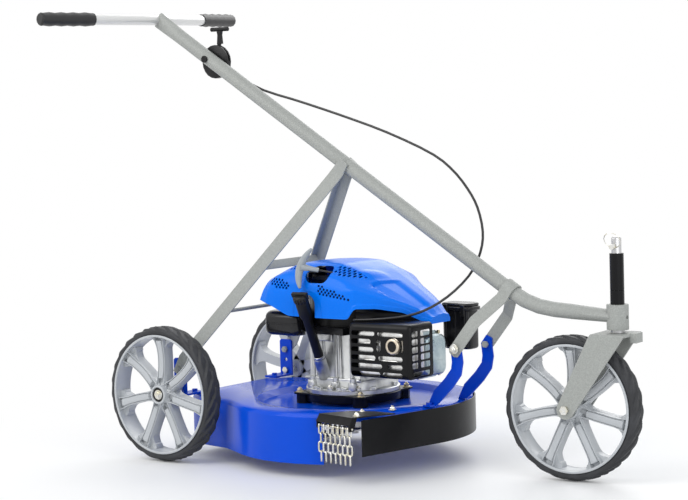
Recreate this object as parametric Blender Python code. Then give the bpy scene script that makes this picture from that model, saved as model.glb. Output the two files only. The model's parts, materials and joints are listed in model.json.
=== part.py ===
"""Three-wheeled side-discharge lawn mower: every piece as its own closed solid, in metres, +Z up.

Sizes are given from the middle of the rear axle line, at floor height: +X runs forward to the
caster wheel, -Y is the side with the discharge chute. The whole machine hangs from one empty
that moves it so that the world origin is under the middle of its bounding box.
"""

import math

import bmesh
import bpy
from mathutils import Matrix, Vector

# Clearances
GAP = 0.0003
LIFT = 0.0005

# Wheels
WHEEL_RADIUS = 0.149
TYRE_WIDTH = 0.044
TYRE_HEIGHT = 0.0175
RIM_WIDTH = 0.048
RIM_WALL = 0.0035
HUB_RADIUS = 0.021
HUB_LENGTH = 0.052
SPOKES = 7
SPOKE_TURN = math.radians(38.6)
SPOKE_DEPTH = 0.030
SPOKE_RECESS = 0.006
CHANNEL_DEPTH = 0.004
AXLE_RADIUS = 0.006
REAR_TRACK = 0.4748
WHEEL_SIDES = 28

# Caster at the front
SPINDLE_X = 1.0055
SPINDLE_RADIUS = 0.010
SPINDLE_TOP = 0.497
CASTER_TRAIL = 0.101
CASTER_REST_TURN = math.radians(5.4)
HEAD_LOW = 0.3115
HEAD_HIGH = 0.3620
HEAD_RADIUS = 0.0225
SPACER_RADIUS = 0.0142
SPACER_SPLIT = 0.3905
SPACER_TOP = 0.464
FORK_TOP = 0.3045
FORK_WALL = 0.005
FORK_INSIDE = 0.0715

# Boom
BOOM_RADIUS = 0.0158
BOOM_WALL = 0.0022
ROUND_SIDES = 14
TUBE_SIDES = 12
BOOM_FOOT = (0.0753, 0.8033)
BOOM_SLOPE = math.radians(-32.0)
BOOM_TOP_X = -0.197
BOOM_JOINT_X = 0.3385
BOOM_BEND_X = 0.803
BOOM_ARM_SLOPE = math.radians(-3.3)

# Handlebar
BAR_RADIUS = 0.0125
BAR_CENTRE = (-0.1995, 0.9739)
BAR_HALF = 0.331
BAR_SWEEP = math.radians(10.4)
BAR_RISE = math.radians(0.36)
GRIP_LENGTH = 0.145
GRIP_RADIUS = 0.0155
GRIP_RIBS = 4

# Deck
DECK_X = 0.338
DECK_RADIUS = 0.263
DECK_TOP = 0.137
DECK_LOW = 0.029
DECK_WALL = 0.003
DECK_CORNER = 0.010
DECK_REAR_X = -0.016
DECK_REAR_HALF = 0.168
DECK_WAIST_X = 0.100
RECESS_RADIUS = 0.205
RECESS_DEPTH = 0.0125
CRANK_HOLE = 0.045
DECK_SIDES = 36
CHUTE_FROM = math.radians(-67.0)
CHUTE_TO = math.radians(-11.0)
SKIRT_TO = math.radians(76.0)
SKIRT_HIGH = 0.133
SKIRT_LOW = 0.058
SKIRT_WALL = 0.003
SKIRT_RUN = 0.215

# Chain curtain
CHAINS = 7
CHAIN_PITCH = 0.0149
CHAIN_ANGLE = math.radians(-59.869)
CHAIN_REACH = DECK_RADIUS + 0.04976
CHAIN_MIDDLE = (DECK_X + CHAIN_REACH * math.cos(CHAIN_ANGLE), CHAIN_REACH * math.sin(CHAIN_ANGLE))
ROD_Z = 0.1165
ROD_RADIUS = 0.0024
WIRE_RADIUS = 0.0018
WIRE_SIDES = 4
LINK_LENGTH = 0.0250
LINK_WIDTH = 0.0128
LINKS = 4

# Axle brackets, struts and front hanger
BRACKET_Y = REAR_TRACK / 2 - 0.0494
BRACKET_WIDTH = 0.034
BRACKET_WALL = 0.005
BRACKET_TOP = 0.221
HOLE_STEP = 0.0243
STRUT_WIDTH = 0.030
STRUT_WALL = 0.004
STRUT_LEG = 0.014
STRUT_TOP_X = 0.338
HANGER_X = 0.7523
HANGER_WIDTH = 0.027
HANGER_WALL = 0.004
HANGER_Y = 0.0610
HANGER_BOLT = (0.653, 0.258)
BOLT_RADIUS = 0.004

# Engine, measured from the crankshaft
ENGINE_X = DECK_X
PLATE_TOP = 0.1490
PLATE_DEPTH = 0.018
PLATE_RADIUS = 0.105
CASE_LOW = PLATE_TOP + GAP
CASE_HIGH = 0.281
CRANK_RADIUS = 0.0127
CYLINDER_Z = 0.236
BLADE_HALF = 0.245
BLADE_WIDTH = 0.060
BLADE_Z = 0.062
COWL_WALL = 0.0025
COWL_SHIFT = -0.011
GUARD_X = (0.438, 0.599)
GUARD_Y = (-0.145, -0.064)
GUARD_Z = (0.201, 0.316)
GUARD_RISE = 0.013
GUARD_WALL = 0.002
OUTLET_RADIUS = 0.0145
TANK_TOP = 0.3280
NECK_AT = (-0.112, 0.028)
NECK_TOP = 0.402
CAP_RADIUS = 0.020
FILTER_AT = (0.206, 0.120)
TUBE_FOOT = (0.3175, -0.0900, 0.2270)
TUBE_HEAD = (0.3265, -0.1560, 0.3560)
TUBE_RADIUS = 0.0105
DIPSTICK_LENGTH = 0.110

CABLE_RADIUS = 0.0028

PAINTS = {
    "hammertone": ((0.46, 0.47, 0.46), 0.38, 0.55),
    "deck_blue": ((0.0, 0.07, 0.72), 0.18, 0.0),
    "bracket_blue": ((0.0, 0.08, 0.74), 0.30, 0.0),
    "cowl_blue": ((0.0, 0.20, 0.90), 0.30, 0.0),
    "satin_black": ((0.02, 0.02, 0.022), 0.42, 0.0),
    "black_plastic": ((0.012, 0.012, 0.013), 0.50, 0.0),
    "zinc": ((0.72, 0.71, 0.66), 0.30, 1.0),
    "cast_aluminium": ((0.66, 0.67, 0.68), 0.42, 1.0),
    "steel": ((0.50, 0.50, 0.51), 0.35, 1.0),
    "wheel_grey": ((0.42, 0.44, 0.47), 0.45, 0.0),
    "tyre_rubber": ((0.035, 0.036, 0.038), 0.75, 0.0),
    "grip_rubber": ((0.01, 0.01, 0.01), 0.40, 0.0),
    "silver_bar": ((0.74, 0.74, 0.72), 0.28, 0.7),
}


def clear_scene():
    """Empty the startup scene."""
    for old in list(bpy.data.objects):
        bpy.data.objects.remove(old, do_unlink=True)


def paint(name):
    """The Principled material of this name, made once."""
    material = bpy.data.materials.get(name)
    if material:
        return material
    material = bpy.data.materials.new(name)
    material.use_nodes = True
    colour, roughness, metallic = PAINTS[name]
    shader = material.node_tree.nodes["Principled BSDF"]
    shader.inputs["Base Color"].default_value = (*colour, 1.0)
    shader.inputs["Roughness"].default_value = roughness
    shader.inputs["Metallic"].default_value = metallic
    material.diffuse_color = (*colour, 1.0)
    return material


def empty(name, place, parent=None, turn=(0.0, 0.0, 0.0)):
    """An empty that carries a group of pieces."""
    holder = bpy.data.objects.new(name, None)
    holder.empty_display_size = 0.05
    holder.location = place
    holder.rotation_euler = turn
    holder.parent = parent
    bpy.context.scene.collection.objects.link(holder)
    return holder


def mesh_of(bm, name):
    """A mesh with its faces turned outwards."""
    bmesh.ops.recalc_face_normals(bm, faces=bm.faces)
    mesh = bpy.data.meshes.new(name)
    bm.to_mesh(mesh)
    bm.free()
    return mesh


def node(name, mesh, material, parent, place=(0.0, 0.0, 0.0), turn=(0.0, 0.0, 0.0), sharp=35.0):
    """One named sub-part."""
    mesh.name = name
    part = bpy.data.objects.new(name, mesh)
    part.location = place
    part.rotation_euler = turn
    part.parent = parent
    mesh.materials.clear()
    mesh.materials.append(paint(material))
    mesh.shade_smooth()
    mesh.set_sharp_from_angle(angle=math.radians(sharp))
    bpy.context.scene.collection.objects.link(part)
    return part


def boolean(base, others, operation):
    """The first mesh with each of the others cut from it or joined to it."""
    for other in others:
        body = bpy.data.objects.new("boolean_body", base)
        tool = bpy.data.objects.new("boolean_tool", other)
        for thing in (body, tool):
            bpy.context.scene.collection.objects.link(thing)
        modifier = body.modifiers.new("boolean", "BOOLEAN")
        modifier.operation = operation
        modifier.object = tool
        graph = bpy.context.evaluated_depsgraph_get()
        result = bpy.data.meshes.new_from_object(body.evaluated_get(graph))
        for thing in (body, tool):
            bpy.data.objects.remove(thing, do_unlink=True)
        base = result
    return base


def cut(base, *tools):
    return boolean(base, tools, "DIFFERENCE")


def join(base, *pieces):
    return boolean(base, pieces, "UNION")


def moved(mesh, matrix):
    """A copy of a mesh, moved."""
    copy = mesh.copy()
    copy.transform(matrix)
    return copy


def circle(radius, count, start=0.0):
    """Points of a circle, anticlockwise."""
    step = 2 * math.pi / count
    return [(radius * math.cos(start + i * step), radius * math.sin(start + i * step)) for i in range(count)]


def oblong(width, height, count):
    """A slot outline: two half rounds joined by straight sides, the long way along the first axis."""
    radius = min(width, height) / 2
    reach = abs(width - height) / 2
    points = []
    for i in range(2 * count + 2):
        side = 1 if i <= count else -1
        angle = -math.pi / 2 + math.pi * (i if side > 0 else i - 1) / count
        u, v = side * reach + radius * math.cos(angle), radius * math.sin(angle)
        points.append((u, v) if width >= height else (-v, u))
    return points


def rounded_box(width, height, radius, steps=3):
    """A rectangle outline with round corners, centred."""
    points = []
    for corner, (sx, sy) in enumerate(((1, -1), (1, 1), (-1, 1), (-1, -1))):
        cx, cy = sx * (width / 2 - radius), sy * (height / 2 - radius)
        for i in range(steps + 1):
            angle = math.radians(-90 + 90 * corner + 90 * i / steps)
            points.append((cx + radius * math.cos(angle), cy + radius * math.sin(angle)))
    return points


def skin(bm, rings, wrap=False):
    """Faces between rings of vertices, closed by end caps, or by joining the last ring to the first."""
    pairs = list(zip(rings, rings[1:]))
    if wrap:
        pairs.append((rings[-1], rings[0]))
    for low, high in pairs:
        for i in range(len(low)):
            bm.faces.new((low[i - 1], low[i], high[i], high[i - 1]))
    if not wrap:
        bm.faces.new(rings[0])
        bm.faces.new(rings[-1])


def turned(profile, count, wrap=False):
    """A mesh turned about Z from (radius, z) points, closed by flat caps or by its own wall."""
    return lofted([[(x, y, z) for x, y in circle(radius, count)] for radius, z in profile], wrap)


def prism(outline, low, high):
    """A mesh with this plan outline between two heights."""
    bm = bmesh.new()
    rings = [[bm.verts.new((x, y, z)) for x, y in outline] for z in (low, high)]
    skin(bm, rings)
    return mesh_of(bm, "prism")


def lofted(sections, wrap=False):
    """A mesh through lists of 3-D points."""
    bm = bmesh.new()
    skin(bm, [[bm.verts.new(point) for point in section] for section in sections], wrap)
    return mesh_of(bm, "loft")


def side_plate(outline, low, high):
    """A plate with this (x, z) outline between two y values."""
    return lofted([[(x, y, z) for x, z in outline] for y in (low, high)])


def box(x, y, z):
    """A block between pairs of coordinates."""
    return prism([(x[0], y[0]), (x[1], y[0]), (x[1], y[1]), (x[0], y[1])], *z)


def rod(start, end, radius, count=16):
    """A round bar between two points."""
    start, end = Vector(start), Vector(end)
    turn = (end - start).to_track_quat("Z", "Y").to_matrix().to_4x4()
    bar = turned([(radius, 0.0), (radius, (end - start).length)], count)
    bar.transform(Matrix.Translation(start) @ turn)
    return bar


def hexagon(start, end, radius):
    """A hexagon head or nut between two points."""
    return rod(start, end, radius, 6)


def frames_along(points, up):
    """(point, side, up) at each point of a path, with up kept near the given direction."""
    frames = []
    for i, point in enumerate(points):
        ahead = points[min(i + 1, len(points) - 1)] - points[max(i - 1, 0)]
        side = ahead.normalized().cross(up).normalized()
        frames.append((point, side, side.cross(ahead.normalized()).normalized()))
    return frames


def tube(points, radii, wall, up=Vector((0.0, 1.0, 0.0)), count=16):
    """A hollow tube along a path; each radius is a (sideways, upward) pair for squashed ends."""
    frames = frames_along(points, up)
    outside, inside = [], []
    for (point, side, over), (across, high) in zip(frames, radii):
        unit = circle(1.0, count)
        outside.append([point + side * (across * u) + over * (high * v) for u, v in unit])
        inside.append([point + side * ((across - wall) * u) + over * ((high - wall) * v) for u, v in unit])
    return lofted(outside + inside[::-1], wrap=True)


def strip(path, section):
    """A bent flat bar: path holds (point, width direction, face normal), section (width, normal) points."""
    rings = []
    for (point, width, normal), outline in zip(path, section):
        rings.append([Vector(point) + width * u + normal * v for u, v in outline])
    return lofted(rings)


def flat_bar(width, wall):
    return [(-width / 2, -wall / 2), (width / 2, -wall / 2), (width / 2, wall / 2), (-width / 2, wall / 2)]


def boom_height(x):
    """Height of the boom's straight centre line."""
    return BOOM_FOOT[1] + math.tan(BOOM_SLOPE) * (x - BOOM_FOOT[0])


def boom_point(x):
    return Vector((x, 0.0, boom_height(x)))


# Wheels


def spoke_outline():
    """Plan of one spoke along +X: narrow in the middle, flared into the hub and the rim."""
    inner, outer = HUB_RADIUS - 0.006, WHEEL_RADIUS - TYRE_HEIGHT - RIM_WALL + 0.0008
    upper, lower = [], []
    stations = ((inner, 0.0105), (outer * 0.350, 0.0086), (outer * 0.761, 0.0098), (outer * 0.917, 0.0165))
    for reach, half in stations:
        upper.append((reach, half + 0.001))
        lower.append((reach, 0.001 - half))
    tip = [(outer * math.cos(a), outer * math.sin(a)) for a in (math.radians(d) for d in (-10.5, 10.5))]
    return lower + tip + upper[::-1]


def wheel_mesh():
    """A moulded wheel about Z: barrel rim, hub and curved spokes, with its outer face at +Z."""
    outer = WHEEL_RADIUS - TYRE_HEIGHT - 0.0009
    half = RIM_WIDTH / 2
    barrel = turned(
        [(outer - RIM_WALL, -half), (outer, -half), (outer, half), (outer - RIM_WALL, half)],
        WHEEL_SIDES,
        wrap=True,
    )
    ends = HUB_LENGTH / 2
    hub = turned(
        [(HUB_RADIUS, -ends), (HUB_RADIUS, ends - 0.003), (HUB_RADIUS - 0.003, ends)],
        16,
    )
    top = half - SPOKE_RECESS
    spoke = prism(spoke_outline(), top - SPOKE_DEPTH, top)
    reach = outer - RIM_WALL - 0.009
    start = HUB_RADIUS + 0.010
    channel = [(start, -0.0045), (reach, -0.0070), (reach, 0.0090), (start, 0.0065)]
    groove = prism(channel, top - CHANNEL_DEPTH, top + 0.01)
    turns = [Matrix.Rotation(2 * math.pi * i / SPOKES, 4, "Z") for i in range(SPOKES)]
    wheel = join(barrel, *[moved(spoke, turn) for turn in turns], hub)
    bore = rod((0.0, 0.0, -0.1), (0.0, 0.0, 0.1), AXLE_RADIUS + 2 * GAP, 14)
    counterbore = rod((0.0, 0.0, ends - 0.006), (0.0, 0.0, 0.1), 0.0135, 14)
    return cut(wheel, bore, counterbore, *[moved(groove, turn) for turn in turns])


def tyre_mesh():
    """A rubber tyre about Z with stepped tread blocks."""
    rim = WHEEL_RADIUS - TYRE_HEIGHT
    half = TYRE_WIDTH / 2
    shoulder = (WHEEL_RADIUS - 0.0045, half - 0.0015)
    profile = [
        (rim, -half), (shoulder[0], -shoulder[1]), (WHEEL_RADIUS, -half * 0.42),
        (WHEEL_RADIUS, half * 0.42), shoulder, (rim, half),
    ]
    rings = []
    for level, (radius, z) in enumerate(profile):
        ring = []
        for i in range(WHEEL_SIDES):
            lug = 0.0014 if (i + level) % 2 and level in (1, 4) else 0.0
            angle = 2 * math.pi * i / WHEEL_SIDES - SPOKE_TURN
            ring.append(((radius - lug) * math.cos(angle), (radius - lug) * math.sin(angle), z))
        rings.append(ring)
    return lofted(rings, wrap=True)


def add_wheel(name, wheel, tyre, parent, place, turn):
    """A wheel and its tyre on an empty that lies on the axle."""
    axle = empty(name + "_axle", place, parent, turn)
    node(name + "_rim", wheel.copy(), "wheel_grey", axle, sharp=28)
    node(name + "_tyre", tyre.copy(), "tyre_rubber", axle, sharp=24)
    return axle


def add_wheels(root, caster):
    wheel, tyre = wheel_mesh(), tyre_mesh()
    quarter = math.pi / 2
    half = REAR_TRACK / 2
    add_wheel("rear_wheel_right", wheel, tyre, root, (0, -half, WHEEL_RADIUS), (quarter, -SPOKE_TURN, 0))
    add_wheel("rear_wheel_left", wheel, tyre, root, (0, half, WHEEL_RADIUS), (-quarter, SPOKE_TURN, 0))
    add_wheel("front_wheel", wheel, tyre, caster, (-CASTER_TRAIL, 0, WHEEL_RADIUS), (quarter, -SPOKE_TURN, 0))


# Caster


def add_fork(caster):
    """Crown plate with two tapered legs and a front lug, about the spindle."""
    outside = FORK_INSIDE / 2 + FORK_WALL
    foot = 0.0190
    steps = 8
    axle = (-CASTER_TRAIL, WHEEL_RADIUS)
    outline = [(0.0320, FORK_TOP), (-0.0420, FORK_TOP), (-0.0470, FORK_TOP - 0.006)]
    for i in range(steps + 1):
        angle = math.radians(152 + (318 - 152) * i / steps)
        outline.append((axle[0] + foot * math.cos(angle), axle[1] + foot * math.sin(angle)))
    legs = [side_plate(outline, side * outside, side * (outside - FORK_WALL)) for side in (-1, 1)]
    crown = box((-0.0420, 0.0320), (-outside + 0.001, outside - 0.001), (FORK_TOP - FORK_WALL, FORK_TOP))
    lug = box((0.0310, 0.0450), (-0.0120, 0.0180), (FORK_TOP - 0.0180, FORK_TOP + 0.0015))
    fork = join(crown, *legs, lug)
    hole = rod((axle[0], -0.1, axle[1]), (axle[0], 0.1, axle[1]), AXLE_RADIUS + GAP)
    seat = rod((0, 0, 0.2), (0, 0, FORK_TOP + 0.001), SPINDLE_RADIUS + 2 * GAP, ROUND_SIDES)
    node("fork", cut(fork, hole, seat), "hammertone", caster)
    reach = outside + 0.0005
    pin = rod((axle[0], -reach - 0.002, axle[1]), (axle[0], reach + 0.006, axle[1]), AXLE_RADIUS, 16)
    heads = [
        hexagon((axle[0], -reach, axle[1]), (axle[0], -reach - 0.006, axle[1]), 0.0095),
        hexagon((axle[0], reach, axle[1]), (axle[0], reach + 0.008, axle[1]), 0.0095),
    ]
    node("front_axle_bolt", join(pin, *heads), "zinc", caster)


def add_spindle(caster):
    """The upright pin with its bottom collar, the two spacers and the pin that holds them."""
    low = FORK_TOP - FORK_WALL
    collar = HEAD_LOW - GAP
    pin = turned(
        [
            (SPINDLE_RADIUS, low), (SPINDLE_RADIUS, FORK_TOP + GAP), (SPACER_RADIUS, FORK_TOP + GAP),
            (SPACER_RADIUS, collar), (SPINDLE_RADIUS, collar), (SPINDLE_RADIUS, SPINDLE_TOP - 0.003),
            (SPINDLE_RADIUS - 0.003, SPINDLE_TOP),
        ],
        ROUND_SIDES,
    )
    pin_z = SPACER_TOP + 0.014
    hole = rod((0, -0.03, pin_z), (0, 0.03, pin_z), 0.0032, 12)
    node("spindle", cut(pin, hole), "steel", caster)
    for name, base, top in (
        ("spacer_short", HEAD_HIGH + GAP, SPACER_SPLIT - GAP),
        ("spacer_long", SPACER_SPLIT, SPACER_TOP),
    ):
        bore = SPINDLE_RADIUS + 2 * GAP
        wall = [(bore, base), (SPACER_RADIUS, base), (SPACER_RADIUS, top), (bore, top)]
        node(name, turned(wall, ROUND_SIDES, wrap=True), "satin_black", caster)
    add_lynch_pin(caster, pin_z)


def add_lynch_pin(caster, z):
    """A lynch pin: straight shank through the spindle, a head, and its spring ring swung up."""
    shank = rod((0, -0.0165, z), (0, 0.0165, z), 0.0028, 12)
    head = rod((0, -0.0235, z), (0, -0.0150, z), 0.0058, 12)
    ring_radius, wire = 0.0175, 0.0011
    centre = Vector((0.0, -0.0195, z))
    loops = []
    count = 14
    tilt = math.radians(28)
    for i in range(count):
        angle = 2 * math.pi * i / count
        out = Vector((math.sin(angle), 0.0, math.cos(angle)))
        out.rotate(Matrix.Rotation(tilt, 3, "X"))
        middle = centre + Vector((0.0, 0.0, 0.0125)) + out * ring_radius
        side = Vector((0.0, math.cos(tilt), math.sin(tilt)))
        loops.append([middle + out * u + side * v for u, v in circle(wire, 4)])
    ring = lofted(loops, wrap=True)
    node("lynch_pin", join(shank, head, ring), "zinc", caster)


# Boom, handlebar and throttle


def add_boom(root):
    """Upper and lower tubes, the steering head and the clamp at the joint."""
    along = Vector((math.cos(BOOM_SLOPE), 0.0, math.sin(BOOM_SLOPE)))
    full = (BOOM_RADIUS, BOOM_RADIUS)
    top = boom_point(BOOM_TOP_X)
    stations = [(0.0, (0.0190, 0.0085)), (0.020, (0.0186, 0.0105)), (0.055, (0.0168, 0.0145)), (0.085, full)]
    points = [top + along * distance for distance, _ in stations] + [boom_point(BOOM_JOINT_X)]
    upper = tube(points, [size for _, size in stations] + [full], BOOM_WALL, count=TUBE_SIDES)
    bar = bar_core(BAR_RADIUS + GAP)
    across = Vector((0.0, 1.0, 0.0))
    pivot = throttle_centre()
    hole = rod(pivot - across * 0.03, pivot + across * 0.03, BOLT_RADIUS + GAP)
    clamp_at = boom_point(BOOM_JOINT_X - 0.016)
    over = along.cross(across) * -1
    clamp = join(
        rod(clamp_at + over * (BOOM_RADIUS - 0.001), clamp_at + over * (BOOM_RADIUS + 0.006), 0.0065, 12),
        hexagon(clamp_at + over * (BOOM_RADIUS + 0.0055), clamp_at + over * (BOOM_RADIUS + 0.012), 0.0055),
    )
    plan = ((-0.03, -0.001), (0.03, -0.001), (0.03, 0.001), (-0.03, 0.001))
    slit = lofted([[clamp_at + along * u + across * v + over * z for u, v in plan] for z in (0.004, 0.016)])
    upper = join(cut(upper, bar, hole, slit), clamp)
    node("boom_upper", upper, "hammertone", root)
    add_lower_boom(root, along)


def add_lower_boom(root, along):
    """The lower tube: a reduced plug, the long run, the bend and the squashed front end."""
    plug = BOOM_RADIUS - BOOM_WALL - GAP
    start = boom_point(BOOM_JOINT_X + GAP)
    arm = Vector((math.cos(BOOM_ARM_SLOPE), 0.0, math.sin(BOOM_ARM_SLOPE)))
    corner = boom_point(BOOM_BEND_X)
    lead = 0.055
    points = [start - along * 0.070, start, start]
    sizes = [plug, plug, BOOM_RADIUS]
    steps = 3
    for i in range(steps + 1):
        t = i / steps
        before, after = corner - along * lead, corner + arm * lead
        points.append((1 - t) ** 2 * before + 2 * t * (1 - t) * corner + t ** 2 * after)
        sizes.append(BOOM_RADIUS)
    radii = [(size, size) for size in sizes]
    squash = ((0.100, 0.0155, 0.0160), (0.150, 0.0142, 0.0190), (0.200, 0.0125, 0.0225))
    for distance, across, high in squash:
        points.append(corner + arm * distance)
        radii.append((across, high))
    lower = tube(points, radii, BOOM_WALL, count=TUBE_SIDES)
    head = Vector((SPINDLE_X, 0.0, 0.0))
    keep_off = rod(head + Vector((0, 0, 0.2)), head + Vector((0, 0, 0.5)), HEAD_RADIUS + GAP, 20)
    node("boom_lower", cut(lower, keep_off), "hammertone", root)
    bore = SPINDLE_RADIUS + 2 * GAP
    wall = [(bore, HEAD_LOW), (HEAD_RADIUS, HEAD_LOW), (HEAD_RADIUS, HEAD_HIGH), (bore, HEAD_HIGH)]
    sleeve = turned(wall, 18, wrap=True)
    middle = (HEAD_LOW + HEAD_HIGH) / 2
    grease = rod((0.0, 0.0, middle), (0.04, 0.0, middle), 0.004, 8)
    node("steering_head", cut(sleeve, grease), "hammertone", root, place=head)


def bar_point(t):
    """Point of the handlebar's centre line at a signed distance from its middle, bent gently there."""
    bend = 0.050
    reach = abs(t)
    back = math.sin(BAR_SWEEP) * (reach - bend / 2 if reach > bend else reach * reach / (2 * bend))
    side = math.copysign(reach * math.cos(BAR_SWEEP), t)
    return Vector((BAR_CENTRE[0] - back, side, BAR_CENTRE[1] + reach * math.sin(BAR_RISE)))


def bar_stations():
    """Centre points of the handlebar, closer together in its middle bend."""
    end = BAR_HALF - 0.004
    return [bar_point(t) for t in (-end, -0.05, -0.025, 0.0, 0.025, 0.05, end)]


def bar_core(radius):
    """A solid bar along the handlebar's centre line."""
    frames = frames_along(bar_stations(), Vector((0.0, 0.0, 1.0)))
    unit = circle(radius, TUBE_SIDES)
    return lofted([[point + side * u + over * v for u, v in unit] for point, side, over in frames])


def add_handlebar(root):
    points = bar_stations()
    size = [(BAR_RADIUS, BAR_RADIUS)] * len(points)
    bar = tube(points, size, 0.0018, Vector((0.0, 0.0, 1.0)), TUBE_SIDES)
    node("handlebar", bar, "silver_bar", root)
    for name, side in (("grip_right", -1), ("grip_left", 1)):
        node(name, grip_mesh(side), "grip_rubber", root)


def grip_mesh(side):
    """A ribbed rubber sleeve with a closed outer end."""
    end = bar_point(side * BAR_HALF)
    inward = (bar_point(side * 0.1) - end).normalized()
    bore = (BAR_RADIUS + GAP) / math.cos(math.pi / TUBE_SIDES)
    profile = [(GRIP_RADIUS - 0.004, 0.0), (GRIP_RADIUS - 0.0005, 0.004)]
    pitch = (GRIP_LENGTH - 0.016) / GRIP_RIBS
    for i in range(GRIP_RIBS * 2 + 1):
        profile.append((GRIP_RADIUS - (0.0012 if i % 2 == 0 else -0.0005), 0.010 + pitch * i / 2))
    profile += [(GRIP_RADIUS - 0.001, GRIP_LENGTH), (bore, GRIP_LENGTH), (bore, 0.0037)]
    sleeve = turned(profile, TUBE_SIDES)
    sleeve.transform(Matrix.Translation(end) @ inward.to_track_quat("Z", "X").to_matrix().to_4x4())
    return sleeve


def throttle_centre():
    """The throttle's pivot, where its bolt crosses the boom."""
    return boom_point(-0.0458)


def add_throttle(root):
    """A two-shell housing on the far side of the boom, its bolt, and the lever that turns in it."""
    centre = throttle_centre() + Vector((0.0, 0.0, -0.006))
    pivot = empty("throttle_pivot", centre, root)
    inside = BOOM_RADIUS + 0.0008
    shell = 0.038
    outline = circle(shell, 20)
    housing = lofted([
        [(u * k, y, v * k) for u, v in outline]
        for k, y in ((0.90, inside), (1.0, inside + 0.002), (1.0, inside + 0.014), (0.86, inside + 0.0175))
    ])
    mouth_low, mouth_high = inside + 0.0055, inside + 0.0105
    turns = [math.radians(180 + 20 * i) for i in range(10)]
    fan = [(0.0240 * math.cos(a), 0.0240 * math.sin(a)) for a in turns]
    fan += [(0.0600, 0.0020), (0.0600, 0.0600), (-0.0600, 0.0600), (-0.0600, 0.0020)]
    mouth = side_plate(fan, mouth_low, mouth_high)
    exit_way = cable_points()[0] - centre
    gland = rod(exit_way * 0.80, exit_way - exit_way.normalized() * 0.0020, 0.0045, 12)
    across = Vector((0.0, 1.0, 0.0))
    lift = throttle_centre() - centre
    shank = rod(lift - across * (BOOM_RADIUS + 0.004), lift + across * (inside + 0.004), BOLT_RADIUS, 12)
    head = rod(lift - across * (BOOM_RADIUS + GAP), lift - across * (BOOM_RADIUS + 0.004), 0.008, 14)
    housing = join(cut(housing, mouth), gland, shank, head)
    node("throttle_housing", housing, "black_plastic", pivot)
    add_throttle_lever(pivot, mouth_low + GAP, mouth_high - GAP)


def add_throttle_lever(pivot, low, high):
    """A steel strip on a round cam with a moulded tee knob."""
    cam = rod((0.0, low, 0.0), (0.0, high, 0.0), 0.0230, 16)
    arm = [(-0.005, 0.010), (0.005, 0.010), (0.0150, 0.040), (0.0150, 0.052), (0.0085, 0.052)]
    strip_part = side_plate(arm, low + 0.0008, high - 0.0008)
    middle = (low + high) / 2
    stem = lofted([
        [(x + 0.0120, middle + y, z) for x, y in rounded_box(w, d, 0.002, 1)]
        for w, d, z in ((0.0150, 0.009, 0.040), (0.0120, 0.008, 0.060), (0.0140, 0.010, 0.069))
    ])
    knob = lofted([
        [(x, middle + y, 0.0730 + z) for y, z in circle(r, 10)]
        for x, r in ((-0.0140, 0.003), (-0.0125, 0.0050), (0.0365, 0.0050), (0.0380, 0.003))
    ])
    node("throttle_lever", join(cam, strip_part, stem, knob), "black_plastic", pivot)


def cable_points():
    """Chosen points of the throttle cable's centre line, housing to engine."""
    route = (
        (-0.0080, 0.0255, 0.8505), (0.0766, 0.0310, 0.8082), (0.1861, 0.0340, 0.7781),
        (0.3065, 0.0360, 0.7435), (0.4214, 0.0400, 0.7065), (0.5322, 0.0450, 0.6608),
        (0.5855, 0.0480, 0.6235), (0.6234, 0.0480, 0.5818), (0.6459, 0.0460, 0.5453),
        (0.6596, 0.0420, 0.4995), (0.6582, 0.0360, 0.4588), (0.6416, 0.0240, 0.4134),
        (0.6213, -0.0150, 0.3744), (0.5926, -0.0550, 0.3452), (0.5593, -0.0880, 0.3295),
        (0.5172, -0.1080, 0.3233), (0.4704, -0.1220, 0.3200), (0.4400, -0.1250, 0.3190),
    )
    return [Vector(point) for point in route]


def smooth_path(points, count):
    """Evenly spread points of a Catmull-Rom curve through the chosen ones."""
    dense = []
    ends = [2 * points[0] - points[1]] + points + [2 * points[-1] - points[-2]]
    for a, b, c, d in zip(ends, ends[1:], ends[2:], ends[3:]):
        for i in range(24):
            t = i / 24
            bend = (2 * a - 5 * b + 4 * c - d) * t ** 2 + (3 * b - a - 3 * c + d) * t ** 3
            dense.append(0.5 * (2 * b + (c - a) * t + bend))
    dense.append(points[-1])
    travelled = [0.0]
    for a, b in zip(dense, dense[1:]):
        travelled.append(travelled[-1] + (b - a).length)
    path, k = [], 0
    for i in range(count):
        goal = travelled[-1] * i / (count - 1)
        while k < len(dense) - 2 and travelled[k + 1] < goal:
            k += 1
        share = (goal - travelled[k]) / (travelled[k + 1] - travelled[k])
        path.append(dense[k].lerp(dense[k + 1], min(share, 1.0)))
    return path


def add_cable(root):
    """The throttle cable, held by the housing's gland and by the clamp at the engine."""
    curve = bpy.data.curves.new("throttle_cable", "CURVE")
    curve.dimensions = "3D"
    curve.bevel_depth = CABLE_RADIUS
    curve.bevel_resolution = 2
    curve.use_fill_caps = True
    points = smooth_path(cable_points(), 48)
    spline = curve.splines.new("POLY")
    spline.points.add(len(points) - 1)
    for slot, point in zip(spline.points, points):
        slot.co = (*point, 1.0)
    curve.materials.append(paint("black_plastic"))
    cable = bpy.data.objects.new("throttle_cable", curve)
    cable.parent = root
    bpy.context.scene.collection.objects.link(cable)


# Deck


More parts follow.
